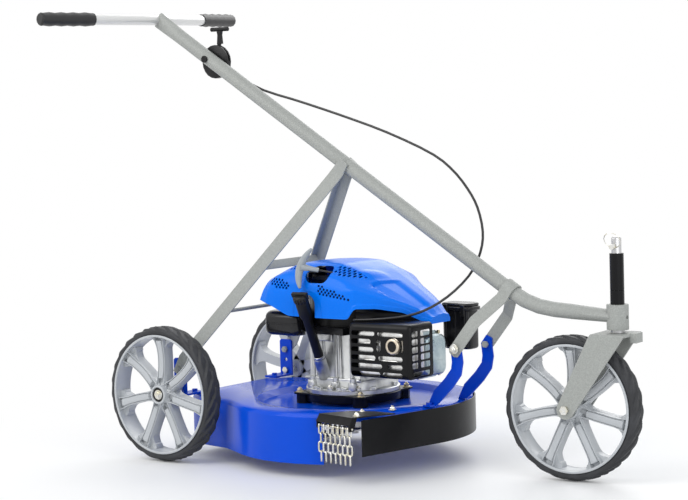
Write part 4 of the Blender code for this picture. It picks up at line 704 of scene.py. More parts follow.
def add_lamps():
    """A big soft key from above the chute side, a fill from the front and a rim light from behind."""
    lamps = (
        ("key", (-1.2, -2.6, 2.6), 2.6, 62.0, (1.0, 0.99, 0.97)),
        ("fill", (2.8, -1.2, 1.4), 2.0, 26.0, (0.96, 0.98, 1.0)),
        ("back", (-0.6, 2.6, 2.2), 2.4, 40.0, (1.0, 1.0, 1.0)),
    )
    for name, place, size, power, colour in lamps:
        lamp = bpy.data.lights.new(name, "AREA")
        lamp.energy = power
        lamp.size = size
        lamp.color = colour
        holder = added(name, lamp)
        holder.location = place
        aim = Vector((0, 0, 0.35)) - Vector(place)
        holder.rotation_euler = aim.to_track_quat("-Z", "Y").to_euler()


# Wheels


def ease(t, low, high):
    """Smooth step of an array: 0 under low, 1 above high, 3t^2 - 2t^3 between."""
    t = np.clip((t - low) / (high - low), 0, 1)
    return t * t * (3 - 2 * t)


def spoke():
    """One spoke along +X: at each reach a section of crowned panel, groove, thin rib and flared web.

    The face dishes in by a half sine between hub and rim, the line bows aside by a smaller half
    sine, the panel sinks into a pocket at each end and the web spreads by a smooth step at the rim.
    """
    t = np.linspace(0, 1, 44)
    reach = SPOKE_START + (SPOKE_END - SPOKE_START) * t
    bow = -0.0032 * np.sin(math.pi * t) + 0.0010
    face = 0.0200 - 0.0085 * np.sin(math.pi * t) ** 0.8
    rib = 0.0100 + 0.0016 * ease(-t, -0.25, 0.0) + 0.0036 * ease(t, 0.72, 1.0)
    ends = np.maximum(ease(-t, -0.185, -0.145), ease(t, 0.90, 0.94))
    panel_half = (rib - 0.0032) * (1 - 0.22 * ease(abs(t - 0.54), 0.18, 0.40))
    panel = face + 0.0004 - 0.0105 * ends
    groove = np.minimum(face - 0.0030, panel - 0.0016)
    flare = 0.0006 + 0.0150 * ease(t, 0.70, 1.0) ** 1.6 + 0.0035 * ease(-t, -0.28, 0.0)
    web = face - 0.0050 - 0.0060 * ease(t, 0.70, 0.95)
    back = -0.0155 + 0 * t
    half = [
        (0 * t, panel + 0.0012), (panel_half * 0.55, panel + 0.0009), (panel_half * 0.92, panel + 0.0002),
        (panel_half, panel - 0.0010), (panel_half + 0.0003, groove), (rib - 0.0019, groove),
        (rib - 0.0017, face - 0.0003), (rib - 0.0012, face), (rib - 0.0004, face), (rib, face - 0.0004),
        (rib + 0.0004, web + 0.0010), (rib + flare * 0.5, web - 0.0006), (rib + flare, web - 0.0012),
        (rib + flare * 1.04, back), (0 * t, back),
    ]
    section = half + [(-y, z) for y, z in half[-2:0:-1]]
    y = np.stack([p[0] for p in section], 1) + bow[:, None]
    z = np.stack([p[1] for p in section], 1)
    x = np.repeat(reach[:, None], y.shape[1], 1)
    arc = np.sqrt(np.maximum(x**2 - y**2, 1e-8))
    x = np.where(t[:, None] > 0.9, arc, x)
    return shell(np.stack((x, y, z), -1))


def wheel_centre():
    """Barrel with rolled lips, seven spokes and a hub with a stepped mouth: profiles turned about Z."""
    lip = [
        (0.1270, 0.0205), (0.1262, 0.0222), (0.1264, 0.0236), (0.1276, 0.0243), (0.1300, 0.0243),
        (0.1312, 0.0236), (0.1313, 0.0222), (0.1305, 0.0205),
    ]
    barrel = [(r, -z) for r, z in lip[::-1]] + lip
    shells = [lathe(barrel, 128, True)]
    arm = spoke()
    for i in range(SPOKES):
        shells += moved([arm], Matrix.Rotation(2 * math.pi * i / SPOKES, 4, "Z"))
    hub = [
        (0.0064, -0.0258), (0.0180, -0.0258), (0.0205, -0.0240), (0.0212, 0.0220), (0.0206, 0.0246),
        (0.0192, 0.0257), (0.0172, 0.0257), (0.0162, 0.0249), (0.0158, 0.0205), (0.0064, 0.0200),
    ]
    shells.append(lathe(hub, 64, True))
    return shells


def tyre(lugs, depth):
    """Tyre about Z: a rounded section whose tread rises as a saw tooth along curved lines.

    One side of the tread runs half a lug ahead of the other.
    """
    half = [(0.1474, 0.0110), (0.1452, 0.0180), (0.1405, 0.0216), (0.1335, 0.0217), (0.1303, 0.0200)]
    outside = rounded([(r, -z) for r, z in half[::-1]] + [(0.1485, 0.0)] + half, 0.004, 4)
    columns = lugs * 14
    t = np.linspace(0, 2 * math.pi, columns, endpoint=False)[None]
    r, z = outside[:, :1], outside[:, 1:]
    s = z / 0.0190
    side = np.where(s > 0, 0.5, 0.0)
    phase = (lugs * t / (2 * math.pi) + 0.85 * abs(s) ** 1.4 + side) % 1.0
    tooth = np.where(phase < 0.86, phase / 0.86, (1 - phase) / 0.14)
    reach = ease(r, 0.1400, 0.1440) * np.where(abs(s) < 0.06, 0.3, 1.0)
    radius = r + reach * (tooth * depth - depth * 0.80)
    radius = np.minimum(radius, WHEEL_RADIUS)
    inner = np.array([(0.1296, 0.0190), (0.1296, -0.0190)])
    skins = (around(radius, z, t), around(inner[:, :1], inner[:, 1:], t))
    return shell(np.concatenate(skins), True)


def wheel_places():
    """(body, matrix) of the three wheels, with the spokes turned as in the photograph."""
    quarter = math.pi / 2
    x, y, z = REAR_AXLE
    way = axis_of("front_wheel_spin")
    low, high = extent("front_wheel_rim")
    front = Matrix.Translation(Vector((low + high) / 2)) @ Matrix.Rotation(math.atan2(-way.x, way.y), 4, "Z")
    right = Matrix.Rotation(-SPOKE_TURN, 4, "Y") @ Matrix.Rotation(quarter, 4, "X")
    left = Matrix.Rotation(SPOKE_TURN, 4, "Y") @ Matrix.Rotation(-quarter, 4, "X")
    return (
        ("rear_wheel_right", Matrix.Translation((x, -y, z)) @ right),
        ("rear_wheel_left", Matrix.Translation((x, y, z)) @ left),
        ("front_wheel", front @ right),
    )


def make_wheels():
    """Centre, tyre, bearing seal and washer of each wheel."""
    sizes = bpy.context.scene.mower_sizes
    seal = [
        (0.0100, 0.0195), (0.0157, 0.0195), (0.0157, 0.0222), (0.0148, 0.0230), (0.0110, 0.0230),
        (0.0100, 0.0222),
    ]
    disc = [(0.0066, 0.0196), (0.0108, 0.0196), (0.0112, 0.0226), (0.0104, 0.0238), (0.0066, 0.0238)]
    parts = (
        ("centre", wheel_centre(), "wheel_grey", 32, "_rim"),
        ("tread", [tyre(sizes.lugs, sizes.lug_depth)], "tyre_rubber", 24, "_tyre"),
        ("seal", [lathe(seal, 48, True)], "black_plastic", SHARP, None),
        ("washer", [lathe(disc, 40, True)], "zinc", SHARP, None),
    )
    for body, matrix in wheel_places():
        for part, shells, look, sharp, ending in parts:
            solid = body + ending if ending else None
            piece(f"{body}_{part}", moved(shells, matrix), look, sharp, body, solid)


# Cowl


# (x from the engine, near half width, far half width, lower edge, shoulder, roof, half of the flat roof)
COWL_STATIONS = np.array([
    (-0.140, 0.122, 0.110, 0.352, 0.389, 0.404, 0.085),
    (-0.132, 0.134, 0.120, 0.350, 0.396, 0.411, 0.090),
    (-0.105, 0.1375, 0.124, 0.343, 0.403, 0.4215, 0.090),
    (-0.055, 0.1385, 0.125, 0.322, 0.407, 0.4325, 0.088),
    (0.000, 0.1385, 0.125, 0.320, 0.406, 0.4350, 0.084),
    (0.055, 0.1380, 0.125, 0.320, 0.401, 0.4335, 0.078),
    (0.106, 0.1360, 0.124, 0.320, 0.388, 0.4160, 0.068),
    (0.118, 0.1330, 0.120, 0.342, 0.384, 0.4100, 0.066),
    (0.160, 0.1080, 0.100, 0.342, 0.369, 0.3880, 0.054),
    (0.205, 0.0720, 0.072, 0.332, 0.350, 0.3620, 0.040),
    (0.236, 0.0460, 0.046, 0.312, 0.334, 0.3420, 0.030),
    (0.252, 0.0340, 0.034, 0.306, 0.316, 0.3200, 0.024),
])
COWL_SHIFT = -0.011


def smoothed(values, reach):
    """Running mean of an array, its ends held, applied twice."""
    for _ in range(2):
        padded = np.concatenate((np.full(reach, values[0]), values, np.full(reach, values[-1])))
        values = np.convolve(padded, np.ones(2 * reach + 1) / (2 * reach + 1), "valid")
    return values


def cowl_grid():
    """The cowl's outside as (stations, round, 3) points, and each station's lower edge.

    Every station is a twelve-cornered arch whose sizes run smoothly along the engine; each corner is
    a short quadratic curve, sharper towards the nose, where the shoulder becomes a crease.
    """
    x = np.linspace(COWL_STATIONS[0, 0], COWL_STATIONS[-1, 0], 200)
    sizes = [np.interp(x, COWL_STATIONS[:, 0], COWL_STATIONS[:, k]) for k in range(1, 7)]
    near, far, low, shoulder, top, flat = (smoothed(v, 2 if k == 2 else 5) for k, v in enumerate(sizes))
    rise, crown = shoulder - low, top - shoulder
    nose = ease(x, 0.070, 0.125)
    far = far * (1 - 0.24 * ease(x, 0.085, 0.165))
    high = 0.85 + 0.10 * nose
    lean = 0.25 - 0.07 * nose
    corners = [
        (-near, low), (-near * 0.995, low + 0.5 * rise), (-near * (0.965 + 0.02 * nose), low + high * rise),
        (-near * (0.90 - 0.02 * nose), shoulder + lean * crown), (-flat, top - 0.0015 - 0.0035 * nose),
        (-flat * 0.4, top - 0.0015 * nose), (flat * 0.4, top - 0.001), (flat * 0.85, top - 0.004),
        (far * 0.90, shoulder + 0.2 * crown), (far * 0.97, low + 0.85 * rise),
        (far * 0.995, low + 0.5 * rise), (far, low),
    ]
    corners = np.stack([np.stack(c, -1) for c in corners], 1)
    radius = (0.012 - 0.0095 * nose)[:, None]
    rows = [corners[:, 0]]
    inset = []
    for k in range(1, 11):
        back, ahead = corners[:, k - 1] - corners[:, k], corners[:, k + 1] - corners[:, k]
        b, a = np.linalg.norm(back, axis=1)[:, None], np.linalg.norm(ahead, axis=1)[:, None]
        r = np.minimum(np.minimum(radius, b * 0.45), a * 0.45)
        inset.append((corners[:, k] + back / b * r, corners[:, k], corners[:, k] + ahead / a * r))
    straight, bend = np.linspace(0, 1, 8)[1:], np.linspace(0, 1, 6)[1:]
    for start, corner, end in inset:
        last = rows[-1]
        rows += [last + (start - last) * f for f in straight]
        rows += [start * (1 - f) ** 2 + 2 * corner * f * (1 - f) + end * f**2 for f in bend]
    last = rows[-1]
    rows += [last + (corners[:, 11] - last) * f for f in straight]
    section = np.stack(rows, 1)
    lean_back = 0.45 * (1 - ease(x, -0.140, -0.050))
    xs = (x + COWL_SHIFT + ENGINE_X)[:, None] + lean_back[:, None] * np.maximum(section[..., 1] - 0.352, 0)
    return np.concatenate((xs[..., None], section), -1), low


def cowl_relief(points, low):
    """How far each point of the cowl stands proud: lips, creases, the nose panel and the roof pad."""
    x, y, z = points[..., 0], points[..., 1], points[..., 2]
    side = abs(y) > 0.55 * abs(y).max(1, keepdims=True)
    lip = (1 - ease(z - low[:, None], 0.0085, 0.0105)) * ease(x, 0.030, 0.045) * side
    arch = (1 - ease(np.hypot(x + 0.0667, (z - 0.330) * 0.82), 0.036, 0.039)) * (y < -0.08)
    band = np.interp(x, (0.055, 0.112, 0.160), (-0.090, -0.083, -0.048))
    start = 0.085 - 0.23 * (0.010 - y)
    facet = ease(x, start, start + 0.006) * ease(y, band, band + 0.004) * ease(-y, 0.004, 0.024)
    facet = facet * (1 - ease(x, 0.158, 0.172)) * (z > low[:, None] + 0.008)
    pad = (1 - ease(np.hypot((x - 0.050 - 0.3 * (y + 0.04)) / 0.55, y + 0.048), 0.006, 0.040)) * (z > 0.38)
    rear = ease(x, -0.196, -0.190) * (1 - ease(x, -0.186, -0.180)) * side
    return 0.0014 * lip - 0.0016 * arch - 0.0052 * facet + 0.0032 * pad - 0.0006 * rear


def normals_of(points):
    """Unit normals of a grid: the cross product of its two slopes."""
    lengthwise = np.gradient(points, axis=0)
    sideways = np.gradient(points, axis=1)
    normal = np.cross(sideways, lengthwise)
    normal = normal / np.maximum(np.linalg.norm(normal, axis=2), 1e-12)[..., None]
    out = points - points.mean((0, 1))
    return normal * np.sign((normal * out).sum())


def vent_holes(side):
    """Hexagonal holes through one side: (x, z, share of full height) along rows that taper forwards.

    The far side has only the middle patch, so that no line of sight runs through both sides.
    """
    patches = (
        (-0.1655, 0.3990, -0.06, 1.0, ((0, 4), (-1, 5), (0, 6), (1, 5))),
        (-0.0375, 0.3880, -0.14, 1.0, ((0, 2), (0, 5), (0, 8), (0, 9))),
        (-0.0120, 0.4250, -0.15, 0.75, ((0, 4), (0, 6), (0, 8), (1, 8))),
        (-0.1360, 0.4225, 0.12, 0.7, ((1, 3), (0, 3))),
    )
    holes = []
    for x, z, slope, squeeze, rows in patches if side < 0 else patches[1:2]:
        for k, (first, end) in enumerate(rows):
            i = np.arange(first, end)
            u = x + VENT_PITCH * (i + 0.5 * (k % 2))
            heights = z - VENT_ROW_STEP * squeeze * k + slope * (u - x)
            holes += [(a, b, squeeze) for a, b in zip(u, heights)]
    return holes


def carved(shells, *cuts, wall=0.0):
    """The mesh of shells, given a wall inwards if one is named, less each group of cutting shells in turn."""
    body = added("blank", mesh_of("blank", shells))
    if wall:
        solid = body.modifiers.new("wall", "SOLIDIFY")
        solid.thickness = wall
        solid.offset = -1
    tools = [added("tool", mesh_of("tool", group)) for group in cuts]
    for tool in tools:
        opened = body.modifiers.new("opening", "BOOLEAN")
        opened.object = tool
        opened.operation = "DIFFERENCE"
    graph = bpy.context.evaluated_depsgraph_get()
    final = bpy.data.meshes.new_from_object(body.evaluated_get(graph))
    for thing in (body, *tools):
        bpy.data.objects.remove(thing, do_unlink=True)
    return final


def prism(outline, near, far, plane="xz"):
    """An outline in one plane carried straight along the third axis."""
    return stack(outline, ((1, near), (1, far)), (0, 0, 0), plane)


def stack(outline, levels, place, plane="xy"):
    """A closed skin: an outline repeated at each (scale, height) along the axis that its plane leaves out."""
    outline = np.asarray(outline, float)
    rows = []
    for scale, height in levels:
        u, v = (outline * scale).T
        w = np.full(len(outline), height)
        rows.append(np.stack({"xy": (u, v, w), "xz": (u, w, v), "yz": (w, u, v)}[plane], -1))
    return shell(np.stack(rows) + place)


def round_box(width, height, radius, steps=6):
    """A rectangle about the origin with quarter circles at its corners."""
    out = []
    for k, (sx, sy) in enumerate(((1, 1), (-1, 1), (-1, -1), (1, -1))):
        t = np.linspace(k, k + 1, steps) * math.pi / 2
        middle = (sx * (width / 2 - radius), sy * (height / 2 - radius))
        out.append(np.stack((np.cos(t), np.sin(t)), -1) * radius + middle)
    return np.concatenate(out)


def cushion(width, height, corner, edge, near, far, place, plane="xy", ends=(True, True)):
    """A box with round corners whose ends are drawn in by a quarter circle.

    At the angle a of the quarter the inset is e (1 - sin a) and the rise is e (1 - cos a).
    """
    a = np.linspace(0, math.pi / 2, 5)
    inset, rise = edge * (1 - np.sin(a)), edge * (1 - np.cos(a))
    size = np.array((width, height))
    first = [((size - 2 * d) / size, near + r) for d, r in zip(inset, rise)] if ends[0] else [(1, near)]
    last = [((size - 2 * d) / size, far - r) for d, r in zip(inset, rise)][::-1] if ends[1] else [(1, far)]
    return stack(round_box(width, height, corner), first + last, place, plane)


def oblong(x, z, width, height, steps=10):
    """An outline with half-round ends about a middle point."""
    return round_box(width, height, min(width, height) / 2 - 1e-5, steps) + (x, z)


def make_cowl():
    """The moulded cowl: its relief surface given a wall, then cut for vents, filler, rope and fuel cap."""
    grid, low = cowl_grid()
    grid = grid + normals_of(grid) * cowl_relief(grid, low)[..., None]
    rows, columns = grid.shape[:2]
    faces = grid_faces(rows, columns, False, False).tolist()
    faces.append(list(range(columns)))
    faces.append(list(range((rows - 1) * columns, rows * columns))[::-1])
    turn = np.linspace(0, 2 * math.pi, 7)[:-1]
    hexagon = np.stack((np.cos(turn) * VENT_RADIUS, np.sin(turn) * VENT_RADIUS * 0.92), -1)
    tools = []
    for side in (-1, 1):
        near, far = sorted((side * 0.155, side * 0.075))
        tools += [prism(hexagon * (1, squeeze) + (x, z), near, far) for x, z, squeeze in vent_holes(side)]
    tools.append(prism(oblong(ENGINE_X - 0.0145, 0.330, 0.044, 0.078), -0.17, -0.10))
    tools.append(prism(oblong(ENGINE_X + 0.0075, 0.4105, 0.061, 0.034), -0.16, -0.075))
    tools += moved([lathe([(0.0235, 0.370), (0.0235, 0.450)], 40)], Matrix.Translation(CAP_PLACE))
    final = carved([(grid.reshape(-1, 3), faces)], tools, wall=COWL_WALL)
    dress("cowl_moulding", final, "cowl_blue", 24.0, solid="cowl")


# Cable


CABLE_RADIUS = 0.0028
CABLE_ROUTE = (
    (-0.4007, 0.0255, 0.8505), (-0.3161, 0.0310, 0.8082), (-0.2066, 0.0340, 0.7781),
    (-0.0862, 0.0360, 0.7435), (0.0287, 0.0400, 0.7065), (0.1395, 0.0450, 0.6608),
    (0.1928, 0.0480, 0.6235), (0.2307, 0.0480, 0.5818), (0.2532, 0.0460, 0.5453),
    (0.2669, 0.0420, 0.4995), (0.2655, 0.0360, 0.4588), (0.2489, 0.0240, 0.4134),
    (0.2286, -0.0150, 0.3744), (0.1999, -0.0550, 0.3452), (0.1666, -0.0880, 0.3295),
    (0.1245, -0.1080, 0.3233), (0.0777, -0.1220, 0.3200), (0.0473, -0.1250, 0.3190),
)


def make_cable():
    """The throttle cable: a smooth curve through its route from the lever's housing to the engine."""
    route = catmull(CABLE_ROUTE, 48)
    curve = bpy.data.curves.new("cable", "CURVE")
    curve.dimensions = "3D"
    curve.bevel_depth = CABLE_RADIUS
    curve.bevel_resolution = 3
    curve.use_fill_caps = True
    line = curve.splines.new("POLY")
    line.points.add(len(route) - 1)
    for point, place in zip(line.points, route):
        point.co = (*place, 1)
    line.use_smooth = True
    curve.materials.append(finish("cable_black"))
    cable = added("cable", curve)
    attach(cable, "chassis")
    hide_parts("throttle_cable")


# Engine


def make_guard():
    """The muffler's guard: a soft-cornered sheet box open at the back, cut through with round-ended slots."""
    low, high = extent("muffler_guard")
    size, middle = high - low, (low + high) / 2
    place = (middle[0], 0, middle[2])
    open_back = (True, False)
    outer = cushion(size[0], size[2], 0.009, 0.011, low[1], high[1], place, "xz", open_back)
    width, height = size[0] - 2 * GUARD_WALL, size[2] - 2 * GUARD_WALL
    hollow = cushion(width, height, 0.008, 0.010, low[1] + GUARD_WALL, high[1] + 0.01, place, "xz", open_back)
    rows = (
        ((0.0092, 0.0702), (0.0772, 0.1427)), ((0.0087, 0.0597),), ((0.0077, 0.0663),),
        ((0.0074, 0.0713), (0.0783, 0.1410)), ((0.0067, 0.0877), (0.1017, 0.1403)),
        ((0.0062, 0.0827), (0.0883, 0.1397)),
    )
    fronts = [(a, b, high[2] - 0.0212 - 0.0170 * k, 0.0100) for k, runs in enumerate(rows) for a, b in runs]
    fronts += [(a, b, OUTLET_Z, 0.0270) for a, b in ((0.0740, 0.0850), (0.1382, 0.1430))]
    slots = [prism(oblong(low[0] + (a + b) / 2, z, b - a, tall), -0.16, -0.136) for a, b, z, tall in fronts]
    sides = []
    for k in range(5):
        z = high[2] - 0.0200 - 0.0164 * k
        for a, b in ((0.0080, 0.0300), (0.0376, 0.0725)):
            sides.append(round_box(b - a, 0.0122, 0.0035) + (low[1] + (a + b) / 2, z))
    sides.append(round_box(0.0600, 0.0105, 0.0030) + (low[1] + 0.0400, 0.2120))
    slots += [prism(outline, high[0] - 0.006, high[0] + 0.01, "yz") for outline in sides]
    start, end = (OUTLET_X, -0.16, OUTLET_Z), (OUTLET_X, -0.1, OUTLET_Z)
    mouth = turned([(0.0178, 0.0), (0.0178, 0.03)], 40, start, end)
    final = carved([outer], [hollow], slots, mouth)
    dress("guard_sheet", final, "satin_black", 30.0, solid="muffler_guard", bevel=0.0003)


def make_muffler():
    """Two pressed halves with a folded seam, and the stub to the cylinder."""
    low, high = extent("muffler")
    x, z = (low[0] + high[0]) / 2, (low[2] + high[2]) / 2 - 0.010
    shells = [
        cushion(0.1300, 0.1040, 0.018, 0.010, -0.1365, -0.0660, (x, 0, z), "xz"),
        cushion(0.1346, 0.1066, 0.019, 0.0010, -0.1030, -0.1000, (x, 0, z), "xz"),
    ]
    for step in (-0.018, 0.018):
        shells.append(cushion(0.0900, 0.0110, 0.0054, 0.0030, -0.1385, -0.1300, (x, 0, z + step), "xz"))
    shells += rod((0.0803, -0.0680, 0.246), (0.0803, -0.0525, 0.246), 0.0140, 24)
    shells += rod((OUTLET_X, -0.1300, OUTLET_Z), (OUTLET_X, -0.1490, OUTLET_Z), 0.0135, 32)
    piece("muffler_box", shells, "bright_steel", 34, solid="muffler")


def make_exhaust():
    """The outlet's rolled ring, and a matt near-black disc behind it: painted shade for the pipe's open mouth."""
    ring = [
        (0.0110, 0.0008), (0.0116, 0.0), (0.0150, 0.0), (0.0163, 0.0009), (0.0168, 0.0024), (0.0160, 0.0042),
        (0.0160, 0.0120), (0.0110, 0.0120),
    ]
    start, end = (OUTLET_X, -0.1514, OUTLET_Z), (OUTLET_X, -0.1300, OUTLET_Z)
    piece("outlet_ring", turned(ring, 56, start, end, True), "brass")
    # A near-black disc set inside the outlet pipe: painted shade standing for the depth of its open mouth
    mouth = rod((OUTLET_X, -0.1497, OUTLET_Z), (OUTLET_X, -0.1425, OUTLET_Z), 0.0112, 32)
    piece("outlet_mouth", mouth, "soot")


def make_valve_cover():
    """A pressed cover with a flange, four bolts and two raised pads."""
    low, high = extent("valve_cover")
    size = high - low
    x, y, z = low[0], (low[1] + high[1]) / 2, (low[2] + high[2]) / 2
    outwards = (False, True)
    shells = [
        cushion(size[1], size[2], 0.018, 0.0012, x, x + 0.0032, (0, y, z), "yz"),
        cushion(0.0740, 0.0860, 0.016, 0.0085, x + 0.0030, high[0] - 0.0012, (0, y, z), "yz", outwards),
    ]
    for step in (-0.022, 0.022):
        place = (0, y, z + step)
        shells.append(cushion(0.040, 0.024, 0.010, 0.0012, high[0] - 0.003, high[0], place, "yz", outwards))
    piece("valve_cover_pressing", shells, "zinc_blue", 34, solid="valve_cover")
    bolts = []
    for side in (-1, 1):
        for end in (-1, 1):
            place = (x + 0.0030, y + side * (size[1] / 2 - 0.0050), z + end * (size[2] / 2 - 0.0050))
            bolts += hex_bolt(place, (1, 0, 0), 0.0080, 0.0045)
    piece("valve_cover_bolts", bolts, "yellow_zinc", 30)


def round_engine(radius, degrees):
    """A place on a circle round the engine's axis."""
    a = math.radians(degrees)
    return ENGINE_X + radius * math.cos(a), radius * math.sin(a)


def make_crankcase():
    """The machined flanges, upright ribs, screw bosses and foot pads that the castings carry."""
    e = ENGINE_X
    flange = [
        (0.080, 0.1490), (0.1015, 0.1490), (0.1026, 0.1500), (0.1026, 0.1580), (0.1012, 0.1592),
        (0.080, 0.1592),
    ]
    shells = moved([lathe(flange, 96, True)], Matrix.Translation((e, 0, 0)))
    for x, top, radius in (
        (-0.058, 0.262, 0.0046), (-0.046, 0.274, 0.0026), (-0.030, 0.276, 0.0030), (-0.0235, 0.276, 0.0022),
        (0.006, 0.277, 0.0034), (0.0165, 0.277, 0.0034), (0.050, 0.270, 0.0042),
    ):
        shells += rod((e + x, -0.0685, 0.176), (e + x, -0.0685, top), radius, 16, 0.0012)
    for x in (-0.052, 0.012, 0.058):
        shells += rod((e + x, -0.0760, 0.158), (e + x, -0.0760, 0.186), 0.0062, 20, 0.0015)
        shells.append(cushion(0.017, 0.010, 0.003, 0.002, 0.158, 0.176, (e + x, -0.0795, 0)))
    shells.append(cushion(0.150, 0.010, 0.004, 0.0025, 0.1765, 0.1835, (e, -0.0700, 0)))
    shells.append(cushion(0.060, 0.008, 0.003, 0.0020, 0.262, 0.278, (e - 0.028, -0.0700, 0)))
    for angle in range(200, 352, 19):
        x, y = round_engine(CASE_BOLT_CIRCLE, angle)
        shells += rod((x, y, 0.155), (x, y, 0.1635), 0.0066, 20)
    for y in (-0.030, 0.0, 0.030):
        shells += rod((e - 0.0735, y, 0.176), (e - 0.0735, y, 0.276), 0.0030, 16, 0.0012)
    piece("crankcase_ribs", shells, "cast_aluminium", 34)
    bolts = []
    for angle in range(200, 352, 38):
        place = (*round_engine(CASE_BOLT_CIRCLE, angle), 0.1635)
        bolts += hex_bolt(place, (0, 0, 1), 0.0090, 0.0050, 0.0072)
    piece("crankcase_bolts", bolts, "zinc", 30)


def make_engine_plate():
    """Smooth rim of the adapter plate and the bolts through its ears."""
    rim = [
        (0.060, 0.1450), (0.1020, 0.1310), (0.1052, 0.1310), (0.1058, 0.1318), (0.1058, 0.1478),
        (0.1046, 0.1489), (0.060, 0.1489),
    ]
    piece("plate_rim", moved([lathe(rim, 96, True)], Matrix.Translation((ENGINE_X, 0, 0))), "satin_black")
    bolts = []
    for angle in (45, 135, 225, 315):
        place = (*round_engine(PLATE_BOLT_CIRCLE, angle), 0.1489)
        bolts += hex_bolt(place, (0, 0, 1), 0.0110, 0.0060, 0.0085, 0.0034)
    piece("plate_bolts", bolts, "yellow_zinc", 30)


def make_air_filter():
    """The air filter's box with three ribs on its near side, its stepped lid, its clips and its neck."""
    x, y = 0.1513, 0.1200
    shells = [
        cushion(0.0740, 0.0430, 0.0130, 0.0060, 0.2360, 0.3240, (x, y, 0)),
        cushion(0.0835, 0.0515, 0.0150, 0.0035, 0.3195, 0.3290, (x, y, 0)),
        cushion(0.0780, 0.0460, 0.0130, 0.0035, 0.3280, 0.3360, (x, y, 0)),
    ]
    for k in range(3):
        place = (x - 0.024 + 0.024 * k, y - 0.0218, 0)
        shells.append(cushion(0.0050, 0.0030, 0.0014, 0.0010, 0.2450, 0.3180, place))
    neck = [(0.0120, 0.0), (0.0125, 0.001), (0.0125, 0.012), (0.0120, 0.013)]
    shells += turned(neck, 28, (0.1233, 0.0827, 0.250), (0.1233, 0.0960, 0.250))
    for step in (-1, 1):
        place = (x + 0.022 * step, y - 0.0250, 0)
        shells.append(cushion(0.0120, 0.0050, 0.0020, 0.0012, 0.3080, 0.3330, place))
    piece("air_filter_shell", shells, "gloss_black", 34, solid="air_filter_box")


def make_shroud():
    """Air duct over the cylinder, under the cowl's nose: a superellipse that narrows forwards."""
    x = np.linspace(0.016, 0.168, 28)
    share = (x - x[0]) / (x[-1] - x[0])
    t = np.linspace(0, 2 * math.pi, 48, endpoint=False)
    half = 0.078 - 0.036 * share**1.6
    top, low = 0.3400 - 0.010 * share**2, 0.2960 + 0.016 * share
    bend = lambda v: np.sign(v) * abs(v) ** 0.45
    y = 0.002 + half[:, None] * bend(np.cos(t))
    z = ((top + low) / 2)[:, None] + ((top - low) / 2)[:, None] * bend(np.sin(t))
    xs = np.repeat(x[:, None], len(t), 1)
    piece("air_duct", [shell(np.stack((xs, y, z), -1))], "black_plastic", 50)


def make_tank():
    """Blow-moulded fuel tank round the rear of the crankcase, its seam, and the neck up to its cap."""
    low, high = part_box("fuel_tank")
    middle = np.array((ENGINE_X - 0.105, -0.020))
    plan = np.array((
        (-0.142, -0.132), (-0.048, -0.132), (-0.046, -0.093), (-0.091, -0.089), (-0.093, 0.120),
        (-0.142, 0.120),
    )) + (ENGINE_X, 0) - middle
    a = np.linspace(0, math.pi / 2, 6)
    sides = [(1 - 0.15 * (1 - math.sin(t)), low[2] + 0.014 * (1 - math.cos(t))) for t in a]
    sides += [(1.0, 0.3010), (1.012, 0.3016), (1.012, 0.3040), (1.0, 0.3046)]
    sides += [(1 - 0.15 * (1 - math.sin(t)), TANK_TOP - 0.014 * (1 - math.cos(t))) for t in a[::-1]]
    top = high[2]
    neck = [
        (0.0200, TANK_TOP - 0.012), (0.0200, 0.388), (0.0215, 0.390), (0.0215, top - 0.001), (0.0205, top)
    ]
    shells = [stack(rounded(plan, 0.020, 8, True), sides, (*middle, 0))]
    shells += moved([lathe(neck, 40)], Matrix.Translation(CAP_PLACE))
    piece("tank_moulding", shells, "gloss_black", 40, solid="fuel_tank")


def make_starter():
    """Tee handle as a crescent that thins towards its tips, its neck, and the rope into the recess."""
    pull = axis_of("starter_pull").normalized()
    centre = np.array(STARTER_EYE + pull * 0.040)
    t = np.linspace(-1, 1, 44)
    path = centre + np.stack((0.0185 * t * t + 0.0170 * t - 0.004, -0.004 * t * t, 0.0425 * t - 0.0030), -1)
    thick = 0.0024 + 0.0062 * (1 - t * t) ** 0.8
    wide = 0.0026 + 0.0048 * (1 - t * t) ** 0.7
    crescent = sweep(path, ring_section(1.0, 20), up=tuple(pull), scale=np.stack((wide, thick), -1))
    neck = [
        (0.0095, 0.0), (0.0072, 0.008), (0.0056, 0.018), (0.0048, 0.030), (0.0050, 0.036), (0.0042, 0.0375)
    ]
    stem = turned(neck, 28, centre, centre - np.array(pull))
    piece("starter_tee", [crescent, *stem], "light_plastic", 40, "starter_pull_body", "starter_handle")
    handle_end, reel_end = centre - np.array(pull) * 0.036, centre - np.array(pull) * 0.068
    path = np.linspace(reel_end, handle_end, 24)
    rope = piece("starter_rope", [sweep(path, ring_section(ROPE_RADIUS))], "cable_black", body=None)
    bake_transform(rope)


def make_oil_cap():
    """Grip ribs round the oil cap's rim, and the collar at the foot of its tube."""
    way = axis_of("oil_cap_pull").normalized()
    head, foot = Vector(OIL_NECK), Vector(OIL_FOOT)
    shells = []
    for k in range(16):
        a = 2 * math.pi * k / 16
        place = (0.0156 * math.cos(a), 0.0156 * math.sin(a), 0)
        shells.append(cushion(0.0026, 0.0026, 0.0011, 0.0006, 0.0028, 0.0130, place))
    piece("oil_cap_ribs", moved(shells, along(head, head + way)), "gloss_black", 34, "oil_cap_body")
    collar = [(0.0108, 0.0), (0.0120, 0.0006), (0.0120, 0.0052), (0.0108, 0.0060)]
    piece("oil_tube_collar", turned(collar, 32, foot, foot + way), "cast_aluminium")


# Chains and fasteners


